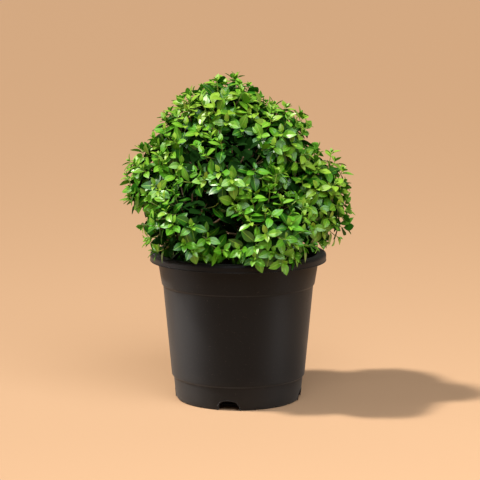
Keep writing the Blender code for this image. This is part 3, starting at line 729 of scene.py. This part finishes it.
# Painted shade: leaves within this many times a hollow's radius take a darker tone.
HOLLOW_SHADE = 1.5
HOLLOW_SHOOTS = 0.15
HOLLOW_LEAVES = 0.06
# Tips of the low shoots that leave the back limbs early and fill the space over the pot's rim.
LOW_TIPS = {
    "foliage_back_left": (
        (-0.036, 0.082, 0.242), (-0.014, 0.078, 0.238), (-0.094, -0.032, 0.236), (-0.104, 0.004, 0.236),
        (-0.094, 0.038, 0.238), (-0.07, 0.036, 0.258), (-0.072, -0.006, 0.258),
    ),
    "foliage_back_right": ((0.01, 0.082, 0.24), (0.032, 0.086, 0.242)),
}
LOW_HEADING = np.array([0.0, 0.4, 1.0])
# A shoot's tint is drawn, then made fresher by one for each span of its tip over a height, and for
# each span to the left or the right. This is partly real young growth and partly painted light:
# lighter leaves at the top and the sides.
FRESH_AND_LIT_HEIGHT = 0.33
FRESH_AND_LIT_SPAN = 0.048
FRESH_AND_LIT_SIDE_SPANS = (-0.11, 0.085)
# Tints of sprays run from fresh (0) to deep, and the last one is for old leaves inside. Old leaves are
# a darker green, but their near-black tone is mostly painted shade for the dark inside of the crown.
SHADED_OLD_TINT = 4
# Down each shoot from its tip: how far in a pair stands, its angle from the shoot in degrees, its
# leaves' size against a full leaf, and how far they hang.
SHOOT_PAIRS = (
    (0.0, 22.0, 0.3, 0.0), (0.0018, 40.0, 0.55, 0.05), (0.006, 55.0, 0.84, 0.22),
    (0.015, 66.0, 1.04, 0.42), (0.0265, 75.0, 1.1, 0.55), (0.039, 82.0, 1.1, 0.6),
)
# The same for the old leaves inside, down the twigs, and down the trunk.
TWIG_PAIRS = (
    (0.003, 50.0, 1.15, 0.1), (0.011, 62.0, 1.15, 0.15), (0.019, 74.0, 1.15, 0.2),
    (0.027, 80.0, 1.15, 0.2), (0.035, 80.0, 1.15, 0.2), (0.044, 80.0, 1.15, 0.2),
)
TRUNK_PAIRS = tuple((back, 75.0, 1.15, 0.1) for back in np.arange(0.01, 0.19, 0.008))


def depth_in_crown(points):
    """How far points lie under the crown's skin: their depths in the masses' ellipsoids, blended by the
    logarithm of the sum of exponentials, which fills the valleys between masses."""
    centres = np.array([mass.centre for mass in masses])
    radii = np.array([mass.radii for mass in masses])
    share = np.linalg.norm((points[..., None, :] - centres) / radii, axis=-1)
    return np.log(np.exp(SKIN_BLEND * (1.0 - share)).sum(axis=-1)) / SKIN_BLEND * MASS_DEPTH


def rays_to_skin(mass, count):
    """(direction, distance) from a mass's centre to the crown's skin: directions along a golden-angle
    spiral, and for each the first of many even steps that is hardly under the skin."""
    turn = math.pi * (3.0 - math.sqrt(5.0)) * np.arange(count)
    z = 1.0 - 2.0 * (np.arange(count) + 0.5) / count
    ring = np.sqrt(1.0 - z**2)
    directions = np.stack([ring * np.cos(turn), ring * np.sin(turn), z], axis=1)
    run = SKIN_STEPS * mass.extent(directions)[:, None]
    outside = depth_in_crown(mass.centre + directions[:, None] * run[..., None]) <= SKIN_DEPTH
    first = np.where(outside.any(axis=1), outside.argmax(axis=1), len(SKIN_STEPS) - 1)
    return zip(directions, run[np.arange(count), first])


def cell_planes(mass):
    """(points, normals) of the planes that part a mass from its neighbours and from its limb."""
    places, normals = [mass.door], [mass.inward]
    for other in masses:
        if other is mass:
            continue
        line = other.centre - mass.centre
        gap = line @ line
        share = (gap + mass.radii[0] ** 2 - other.radii[0] ** 2) / (2.0 * gap)
        places.append(mass.centre + line * share)
        normals.append(unit(line))
    return np.array(places), np.array(normals)


def clear_of_pot(points):
    """Whether points stay off the pot's rim and wall and above the soil."""
    radius = np.hypot(points[..., 0], points[..., 1])
    height = points[..., 2]
    inside = radius < COLLAR_RADIUS - WALL - RIM_CLEARANCE
    over_soil = height > SOIL_TOP + SOIL_MOUND + SOIL_CLEARANCE
    off_rim = (height > POT_HEIGHT + RIM_CLEARANCE) | (radius > RIM_RADIUS + RIM_CLEARANCE)
    return np.where(inside, over_soil, off_rim)


def in_circles(point, circles, grown=1.0):
    """Whether a point lies in one of some circles in the front view, their radii multiplied."""
    return any(math.hypot(point[0] - x, point[2] - z) < radius * grown for x, z, radius in circles)


def in_hollow(point, limit=HOLLOW_DEPTH, grown=1.0):
    """Whether a point less deep in the crown than a limit lies in one of its hollows or nicks."""
    if depth_in_crown(point) > limit:
        return False
    return in_circles(point, NICKS + HOLLOWS if point[1] < HOLLOW_Y else NICKS, grown)


def bent_line(start, leave, end, arrive, count=LINE_POINTS):
    """The cubic curve that leaves its start along one direction and comes to its end along another,
    with handles a third of the distance long."""
    t = np.linspace(0.0, 1.0, count)[:, None]
    handle = np.linalg.norm(end - start) / 3.0
    one, two = start + leave * handle, end - arrive * handle
    return start * (1 - t) ** 3 + 3 * one * t * (1 - t) ** 2 + 3 * two * t**2 * (1 - t) + end * t**3


def furthest(mass, planes, direction, distance, reaches, spill):
    """The furthest of some points along a direction that is off the pot and in the mass's own cell,
    give or take a spill past its planes, or None."""
    places, normals = planes
    for reach in reaches:
        point = mass.centre + direction * distance * reach
        if (((point - places) * normals).sum(axis=-1) <= spill).all() and clear_of_pot(point):
            return point
    return None


def fan_of_twigs(mass, planes, outward, dice):
    """The lines of the twigs that fan out from the centre of a mass."""
    twigs = []
    for direction, distance in rays_to_skin(mass, TWIG_DIRECTIONS):
        if direction @ outward < INNER_COSINE:
            continue
        length = distance * dice.uniform(*TWIG_LENGTHS)
        end = furthest(mass, planes, direction, length, TWIG_REACHES, 0.0)
        if end is not None:
            twigs.append(bent_line(mass.centre, direction, end, unit(direction + UP * LIFT)))
    return twigs


def leafy_shoots(mass, planes, outward, twigs, dice):
    """The shoots of a mass, each from the twig that points most nearly its way to the skin, as (line,
    pairs, tint). Few grow in the hollows."""
    headings = unit(np.array([line[-1] - line[0] for line in twigs]))
    shoots = []
    for direction, distance in rays_to_skin(mass, SHOOT_DIRECTIONS):
        play = dice.uniform(*SHOOT_PLAY) + STRAY_REACH * (dice.random() < STRAY_SHARE)
        at = int(dice.uniform(*SHOOT_STARTS) * (LINE_POINTS - 1))
        sway = dice.normal(0.0, SWAY, 3)
        direction = unit(direction + dice.normal(0.0, SCATTER, 3))
        if direction @ outward < EXPOSED_COSINE:
            continue
        play += PROUD_REACH * in_circles(mass.centre + direction * distance, PROUD_PLACES)
        skin = furthest(mass, planes, direction, distance * play, SHOOT_REACHES, CELL_SPILL)
        if skin is None or depth_in_crown(skin) > SHOOT_DEPTH:
            continue
        if in_hollow(skin) and dice.random() > HOLLOW_SHOOTS:
            continue
        axis = unit(direction + UP * LIFT + sway)
        tip = skin - axis * LEAF_LENGTH * SHOOT_PAIRS[0][2]
        twig = twigs[np.argmax(headings @ direction)]
        line = bent_line(twig[at], unit(twig[at + 1] - twig[at]), tip, axis)
        if not clear_of_pot(line).all() or in_hollow(line[-4]):
            continue
        # Fresher, lighter tints up high and out at the sides: partly young growth, partly painted light.
        aside = skin[0] / FRESH_AND_LIT_SIDE_SPANS[int(skin[0] > 0.0)]
        older_and_less_lit = (FRESH_AND_LIT_HEIGHT - skin[2]) / FRESH_AND_LIT_SPAN - aside
        tint = int(np.clip(dice.uniform(0.0, SHADED_OLD_TINT) + older_and_less_lit, 0, SHADED_OLD_TINT - 1))
        shoots.append((line, SHOOT_PAIRS, tint))
    return shoots


def grow(mass, dice):
    """A mass's woody lines, as (line, radius at its foot, radius at its tip, slot), and its leafy ones,
    as (line, pairs, tint)."""
    planes = cell_planes(mass)
    outward = unit(mass.centre - CROWN_HEART)
    stem = bent_line(mass.door, -mass.inward, mass.centre, unit(outward + UP * STEM_LIFT))
    twigs = fan_of_twigs(mass, planes, outward, dice)
    shoots = leafy_shoots(mass, planes, outward, twigs, dice)
    foot = mass.limb_line(LINE_POINTS)[1]
    tips = np.array(LOW_TIPS.get(mass.name, ()))
    low = [bent_line(foot, unit(tip - foot), tip, unit(LOW_HEADING)) for tip in tips]
    lines = [(stem, STEM_RADIUS, TWIG_RADIUS, BROWN_WOOD)]
    lines += [(line, TWIG_RADIUS, TWIG_TIP_RADIUS, BROWN_WOOD) for line in twigs]
    lines += [(line, SHOOT_RADIUS, SHOOT_TIP_RADIUS, YOUNG_WOOD) for line, _, _ in shoots]
    lines += [(line, TWIG_RADIUS, SHOOT_TIP_RADIUS, YOUNG_WOOD) for line in low]
    shoots += [(line, SHOOT_PAIRS, SHADED_OLD_TINT - 1) for line in low]
    if mass.on_trunk:
        shoots.append((trunk_point(np.linspace(TRUNK_FOOT, TRUNK_TOP, 60)), TRUNK_PAIRS, SHADED_OLD_TINT))
    else:
        twigs += 2 * [mass.limb_line(4 * LINE_POINTS)]
    return lines, shoots + [(line, TWIG_PAIRS, SHADED_OLD_TINT) for line in [*twigs, stem]]


# The slots of the wood's finishes: the green end of a shoot, the rest of it, and older wood.
GREEN_WOOD, YOUNG_WOOD, BROWN_WOOD = range(3)
STEM_TONES = (
    ("shoot_green", (0.26, 0.38, 0.06), 0.55),
    ("twig_young", (0.2, 0.25, 0.07), 0.65),
    ("twig_brown", (0.11, 0.075, 0.04), 0.8),
)


def twig_wood(lines):
    """The woody lines of a mass as thin round tubes. Returns points, faces and slots."""
    paths = np.array([line for line, _, _, _ in lines])
    radii = np.array([np.linspace(foot, tip, LINE_POINTS) for _, foot, tip, _ in lines])
    wood = np.array([slot for _, _, _, slot in lines])
    points, faces = tube_grid(paths, radii, TWIG_SIDES)
    ends = np.where(wood == YOUNG_WOOD, GREEN_WOOD, wood)
    green = np.linspace(0.0, 1.0, LINE_POINTS)[:-1] > GREEN_SHARE
    sides = np.where(green, ends[:, None], wood[:, None])
    return points, faces, np.concatenate([np.repeat(sides.ravel(), TWIG_SIDES), wood, ends])


def point_back(line, distance):
    """The point and heading at a distance back from the end of a line."""
    lengths = np.linalg.norm(np.diff(line, axis=0), axis=1)[::-1]
    run = np.concatenate([[0.0], np.cumsum(lengths)])
    back = line[::-1]
    if distance >= run[-1]:
        return None, None
    step = int(np.searchsorted(run, distance, side="right")) - 1
    share = (distance - run[step]) / lengths[step]
    return back[step] * (1 - share) + back[step + 1] * share, unit(back[step] - back[step + 1])


def leaf_outline(u):
    """Half width of a leaf along its length, from 0 to 1: a short stalk, then a sine of the blade's
    share raised to a power, full in the middle and coming to a blunt point."""
    blade = np.clip((u - LEAF_STALK) / (1.0 - LEAF_STALK), 0.0, 1.0)
    swell = np.sin(np.pi * blade**LEAF_FULLNESS) ** LEAF_FULLNESS
    return np.where((u > 0.0) & (u < 1.0), np.maximum(swell, LEAF_STALK_WIDTH), 0.0)


def leaf_points(u, v, leaves):
    """Points of leaves at shares u of the length and v of the half width. A blade bends back along a
    circular arc, its halves rise from the midrib and round over to their edges, and it ripples."""
    root, along, normal, length, bend, fold, ripple = leaves
    across = np.cross(normal, along)
    half = LEAF_PLUMPNESS * length[:, None] / 2.0 * leaf_outline(u)
    forward = np.sin(bend[:, None] * u) / bend[:, None] * length[:, None]
    down = (1.0 - np.cos(bend[:, None] * u)) / bend[:, None] * length[:, None]
    rise = half * (fold[:, None] * np.abs(v) - LEAF_ROUNDING * v**2)
    wave = LEAF_RIPPLE * half * np.abs(v) * np.sin(9.0 * u + ripple[:, None] + 1.5 * np.sign(v))
    offset = along[:, None] * forward[..., None] + across[:, None] * (half * v)[..., None]
    return root[:, None] + offset + normal[:, None] * (rise + wave - down)[..., None]


def leaf_template(stations, top, parts):
    """Shares u and v, thickness share, faces and kinds for one leaf. On top, strips between the shares
    of `top` run from stalk to tip, each blade (0) or midrib (1). Below there are two strips (2)."""
    rows, across = len(stations), len(top)
    u = np.concatenate([np.repeat(stations, across), stations, [0.0, 1.0]])
    v = np.concatenate([np.tile(top, rows), np.zeros(rows), [0.0, 0.0]])
    upper = np.arange(rows * across).reshape(rows, across)
    lower = rows * across + np.arange(rows)
    sunk = np.where(np.abs(v) < 0.2, 0.25, 0.0)
    sunk[lower] = 1.0
    sunk[-2:] = 0.0
    base, tip = lower[-1] + [1, 2]
    strips = np.concatenate([upper, lower[:, None], upper[:, :1]], axis=1).T
    quads, ends = [], []
    for left, right in zip(strips, strips[1:]):
        quads.append(np.stack([left[:-1], left[1:], right[1:], right[:-1]], axis=1))
        ends += [(left[0], right[0], base), (right[-1], left[-1], tip)]
    kinds = np.array([*parts, 2, 2])
    faces = [np.concatenate(quads), np.array(ends)]
    return u, v, sunk, faces, [np.repeat(kinds, rows - 1), np.repeat(kinds, 2)]


def leaf_bodies(leaves, tones, template):
    """Leaves of one template as points, faces and slots. Blade, midrib and underside take the slots of
    each leaf's tone."""
    u, v, sunk, faces, kinds = template
    points = leaf_points(u, v, leaves) - leaves[2][:, None] * (sunk * LEAF_THICKNESS)[:, None]
    offset = points.shape[1] * np.arange(len(points))[:, None, None]
    slot_of = np.stack([tones, RIB_SLOTS[tones], UNDERSIDE_SLOTS[tones]], axis=1)
    blocks = [(block + offset).reshape(-1, block.shape[1]) for block in faces]
    return points.reshape(-1, 3), blocks, np.concatenate([slot_of[:, kind].ravel() for kind in kinds])


# A leaf that shows has a midrib and a rounded blade; an old one inside has a plain fold.
FULL_LEAF = leaf_template(
    np.array([0.1, 0.2, 0.38, 0.58, 0.77, 0.92]),
    np.array([-1.0, -0.55, -0.085, 0.085, 0.55, 1.0]),
    (0, 0, 1, 0, 0),
)
PLAIN_LEAF = leaf_template(np.array([0.12, 0.32, 0.62, 0.86]), np.array([-1.0, 0.0, 1.0]), (0, 0))
OLD_LEAF_DEPTH = 0.014
LEAF_TRIES = 5
# How far pairs stray in turn, and leaves in angle, side, line and face, how much further and higher
# with each new try, how far faces turn up, and the ranges of length, bend and fold.
TURN_PLAY = 0.3
TILT_PLAY = 6.0
SPREAD_PLAY = 0.14
LINE_PLAY = 0.05
FACE_PLAY = 0.14
TRY_PLAY = 0.8
TRY_LIFT = 0.12
FACE_LIFT = 0.45
LENGTH_PLAY = (0.88, 1.08)
BENDS = (0.25, 0.75)
FOLDS = (0.2, 0.42)
YOUNG_FOLD = 0.35
YOUNG_SIZE = 0.8
# The coarse leaf and the size of the grid's cells in the test that leaves keep clear.
PROXY_U = np.array([0.22, 0.5, 0.5, 0.82, 0.82, 1.0])
PROXY_V = np.array([0.0, -0.95, 0.95, -0.75, 0.75, 0.0])
PROXY_FACES = [(0, 1, 2), (1, 3, 4, 2), (3, 5, 4)]
GRID = 0.026
# Tones run from new (0) to shaded, for old leaves; that near-black tone is painted shade. Lower pairs
# and deeper tints make a leaf darker, and depth in the crown and places by a hollow darken it more as
# painted shade. One high up, or out at the right, is lighter as painted light.
SHADED_OLD_TONE = 4
PAIR_AGES = (0, 0, 1, 1, 2, 2)
SPRAY_AGES = (0, 0, 1, 1)
SHADE_DEPTH = 0.014
DEEP_SHADE_DEPTH = 0.021
LIT_HEIGHT = 0.398
LIT_SIDE = 0.085
LIT_SIDE_HEIGHT = 0.285


def leaf_sprays(leaves, tones):
    """All leaves of a mass as points, faces and slots, the old ones inside from the plainer template."""
    parts, slots = [], []
    for chosen, template in ((tones != SHADED_OLD_TONE, FULL_LEAF), (tones == SHADED_OLD_TONE, PLAIN_LEAF)):
        if chosen.any():
            *body, tone_slots = leaf_bodies([value[chosen] for value in leaves], tones[chosen], template)
            parts.append(body)
            slots.append(tone_slots)
    return *joined(parts), np.concatenate(slots)


def leaf_try(node, heading, side, pair, number, dice):
    """A try at a leaf: it leaves its shoot at the angle of its pair, hangs a little, and turns its face
    out and up to the light. Later tries stray further."""
    _, angle, size, droop = pair
    loose = 1.0 + TRY_PLAY * number
    tilt = math.radians(angle + dice.normal(0.0, TILT_PLAY) * loose)
    spread = dice.normal(0.0, SPREAD_PLAY) * loose
    out = unit(side + np.cross(heading, side) * spread)
    along = heading * math.cos(tilt) + out * math.sin(tilt) - UP * droop
    along = unit(along + dice.normal(0.0, LINE_PLAY, 3) * loose + UP * (TRY_LIFT * number))
    facing = heading + UP * FACE_LIFT + dice.normal(0.0, FACE_PLAY, 3)
    normal = unit(facing - along * (facing @ along))
    length = LEAF_LENGTH * size * dice.uniform(*LENGTH_PLAY)
    bend = dice.uniform(*BENDS) * (0.5 + 0.5 * min(size, 1.0))
    fold = dice.uniform(*FOLDS) + YOUNG_FOLD * max(0.0, YOUNG_SIZE - size)
    return node, along, normal, length, bend, fold, dice.uniform(0.0, 6.28)


def as_arrays(leaves):
    """Many leaves' values as one array for each kind of value."""
    return [np.array(values) for values in zip(*leaves)]


def has_place(corners, middle, tint, dice):
    """Whether a leaf keeps off the pot and lies at a depth that suits it. An old one never shows in a
    hollow, and few others do."""
    depth = depth_in_crown(middle)
    if depth > LEAF_DEPTH or not clear_of_pot(corners).all():
        return False
    if tint == SHADED_OLD_TINT:
        return depth >= OLD_LEAF_DEPTH and not in_hollow(middle, OLD_HOLLOW_DEPTH)
    return not in_hollow(middle) or dice.random() <= HOLLOW_LEAVES


def coarse_body(points, faces):
    """A body for the test of crossings, and the cell of the grid that its middle lies in."""
    body = BVHTree.FromPolygons([Vector(point) for point in points], faces)
    return body, tuple(int(step) for step in np.floor(points.mean(axis=0) / GRID))


def crosses(body, cell, placed):
    """Whether a body crosses one placed in its own cell or one next to it."""
    x, y, z = cell
    around = ((x + i, y + j, z + k) for i, j, k in itertools.product((-1, 0, 1), repeat=3))
    return any(body.overlap(other) for key in around for other in placed.get(key, ()))


def free_leaf(node, heading, side, pair, tint, placed, dice):
    """The first try at a leaf that has its place and crosses nothing, and its middle, or nothing."""
    for number in range(LEAF_TRIES):
        leaf = leaf_try(node, heading, side, pair, number, dice)
        corners = leaf_points(PROXY_U, PROXY_V, as_arrays([leaf]))[0]
        middle = corners.mean(axis=0)
        if has_place(corners, middle, tint, dice):
            body, cell = coarse_body(corners, PROXY_FACES)
            if not crosses(body, cell, placed):
                placed.setdefault(cell, []).append(body)
                return leaf, middle
    return None, None


def tone_of(pair, tint, middle):
    """A leaf's tone, by the number of its pair down the shoot, its spray's tint and its middle."""
    # Painted light: a leaf high up, or out at the right above a height, takes a lighter tone.
    lit = middle[2] > LIT_HEIGHT or (middle[0] > LIT_SIDE and middle[2] > LIT_SIDE_HEIGHT)
    if tint == SHADED_OLD_TINT:
        return SHADED_OLD_TONE - int(lit)
    # Painted shade: depth under the crown's skin and a nearby hollow make the tone darker.
    depth = depth_in_crown(middle)
    age_and_shade = PAIR_AGES[pair] + SPRAY_AGES[tint] + (depth > SHADE_DEPTH) + (depth > DEEP_SHADE_DEPTH)
    age_and_shade += in_hollow(middle, grown=HOLLOW_SHADE) - int(lit)
    return int(np.clip(age_and_shade, 0, SHADED_OLD_TONE - 1))


def place_leaves(shoots, placed, dice):
    """The leaves of a mass's shoots and their tones, in crossed pairs from the tip down."""
    leaves, tones = [], []
    for line, pairs, tint in shoots:
        axis = unit(line[-1] - line[-2])
        first = np.cross(axis, UP) + dice.normal(0.0, TURN_PLAY, 3)
        side = unit(first - axis * (first @ axis))
        for number, pair in enumerate(pairs):
            node, heading = point_back(line, pair[0])
            if node is None:
                break
            for out in (side, -side):
                leaf, middle = free_leaf(node, heading, out, pair, tint, placed, dice)
                if leaf is not None:
                    leaves.append(leaf)
                    tones.append(tone_of(number, tint, middle))
            side = unit(np.cross(heading, side))
    return as_arrays(leaves), np.array(tones)


# Base colours of the blades from new to shaded, of the midribs on them, and of the undersides.
LEAF_COLOURS = {
    "leaf_new": (0.23, 0.42, 0.028),
    "leaf_bright": (0.142, 0.372, 0.018),
    "leaf_green": (0.088, 0.318, 0.01),
    "leaf_deep": (0.024, 0.15, 0.004),
    "leaf_shaded": (0.004, 0.028, 0.001),
    "rib_new": (0.3, 0.52, 0.05),
    "rib_green": (0.18, 0.42, 0.03),
    "rib_shaded": (0.03, 0.09, 0.012),
    "underside_new": (0.12, 0.36, 0.024),
    "underside_green": (0.036, 0.2, 0.01),
    "underside_shaded": (0.004, 0.028, 0.001),
}
# For each blade's tone, the place in that list of its midrib's colour and of its underside's.
RIB_SLOTS = np.array([5, 5, 6, 6, 7])
UNDERSIDE_SLOTS = np.array([8, 8, 9, 9, 10])
# Roughness and specular level of the upper sides, the undersides and what lies in the shade.
FINISHES = {"gloss": (0.37, 0.62), "dull": (0.6, 0.15), "shaded": (0.8, 0.08)}


def leaf_materials():
    """The leaves' finishes: plain colours with the soft gloss of a waxy leaf on the upper side."""
    made = []
    for name, colour in LEAF_COLOURS.items():
        kind = "shaded" if name.endswith("shaded") else "dull" if name.startswith("underside") else "gloss"
        roughness, specular = FINISHES[kind]
        material, shader = material_of(name, colour, roughness)
        shader.inputs["Specular IOR Level"].default_value = specular
        made.append(material)
    return made


def limb_obstacles(lines):
    """A grid of coarse tubes along limbs, given as (points, radius), which the leaves keep off."""
    grid = {}
    for points, radius in lines:
        points = closer(points, GRID / 2.0)
        for start in range(len(points) - 1):
            verts, faces = tube_grid(points[None, start : start + 2], np.full((1, 2), radius), 6)
            body, cell = coarse_body(verts, [tuple(face) for block in faces for face in block])
            grid.setdefault(cell, []).append(body)
    return grid


dice = np.random.default_rng(CROWN_SEED)
leaf_finishes = leaf_materials()
stem_finishes = [material_of(*tone)[0] for tone in STEM_TONES]
limb_lines = [(trunk_point(np.linspace(TRUNK_FOOT, TRUNK_TOP, LINE_POINTS)), TRUNK_RADIUS)]
limb_lines += [(mass.limb_line(LINE_POINTS), BOUGH_BASE_RADIUS) for mass in boughs]
placed = limb_obstacles(limb_lines)
for mass in masses:
    lines, shoots = grow(mass, dice)
    sprays = leaf_sprays(*place_leaves(shoots, placed, dice))
    for kind, parts, finishes, sharp, slot in (
        ("leaves", sprays, leaf_finishes, 50.0, "leaf_green"),
        ("twigs", twig_wood(lines), stem_finishes, 60.0, "bark"),
    ):
        name = mass.name.replace("foliage", kind)
        piece = add_piece(name, new_mesh(name, *parts), finishes, sharp)
        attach(piece, "root")
        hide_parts(mass.name)

# --- Floor, light and camera ---------------------------------------------
# A plain pale floor under a pale sky. The sun stands at the upper left, a large soft panel high at
# the front right, and three weak strips low at the sides give the pot its sheen. The camera looks
# down a little, with a long lens.

FLOOR_SIZE = 120.0
FLOOR_COLOUR = (0.555, 0.342, 0.196)
SKY_COLOUR = (1.0, 0.86, 0.74)
SKY_STRENGTH = 0.19
# Place, width and height, power, colour, spread in degrees, and the height on the axis it faces.
LIGHTS = {
    "panel": ((0.5, -1.5, 2.0), (1.8, 1.8), 48.0, (0.95, 1.0, 1.04), 180.0, 0.3),
    "back_left_strip": ((-1.55, 0.4, 0.08), (0.3, 0.14), 0.13, (0.96, 0.97, 1.0), 12.0, 0.08),
    "left_strip": ((-1.55, -0.3, 0.08), (0.3, 0.14), 0.15, (0.96, 0.97, 1.0), 12.0, 0.08),
    "right_strip": ((1.5, -0.65, 0.08), (0.3, 0.14), 0.13, (0.98, 0.98, 1.0), 12.0, 0.08),
}
SUN_FROM = Vector((-0.7, -0.12, 1.1))
SUN_STRENGTH = 3.9
SUN_ANGLE = math.radians(5.0)
SUN_COLOUR = (1.0, 0.95, 0.86)
CAMERA_PLACE = (0.0025, -2.519, 0.6014)
CAMERA_PITCH = 8.47
CAMERA_LENS = 135.0
CAMERA_SENSOR = 36.0

half = FLOOR_SIZE / 2.0
corners = np.array([(-half, -half, 0.0), (half, -half, 0.0), (half, half, 0.0), (-half, half, 0.0)])
floor_finish, floor_shader = material_of("pale_floor", FLOOR_COLOUR, 0.8)
floor = add_piece("floor", new_mesh("floor", corners, [np.array([[0, 1, 2, 3]])]), [floor_finish])

world = bpy.data.worlds.new("studio")
world.use_nodes = True
sky = world.node_tree.nodes["Background"]
sky.inputs["Color"].default_value = (*SKY_COLOUR, 1.0)
sky.inputs["Strength"].default_value = SKY_STRENGTH
bpy.context.scene.world = world

for name, (place, size, power, colour, spread, aim) in LIGHTS.items():
    lamp = bpy.data.lights.new(name, "AREA")
    lamp.shape = "RECTANGLE"
    lamp.size, lamp.size_y = size
    lamp.energy = power
    lamp.spread = math.radians(spread)
    lamp.color = colour
    light = linked(name, lamp)
    light.location = place
    light.rotation_euler = (Vector((0.0, 0.0, aim)) - light.location).to_track_quat("-Z", "Y").to_euler()

sun_data = bpy.data.lights.new("sun", "SUN")
sun_data.energy = SUN_STRENGTH
sun_data.angle = SUN_ANGLE
sun_data.color = SUN_COLOUR
sun = linked("sun", sun_data)
sun.rotation_euler = SUN_FROM.to_track_quat("Z", "Y").to_euler()

camera_data = bpy.data.cameras.new("camera")
camera_data.lens = CAMERA_LENS
camera_data.sensor_width = CAMERA_SENSOR
camera = linked("camera", camera_data)
camera.location = CAMERA_PLACE
camera.rotation_euler = (math.radians(90.0 - CAMERA_PITCH), 0.0, 0.0)
bpy.context.scene.camera = camera
bpy.context.scene.view_settings.view_transform = "Standard"
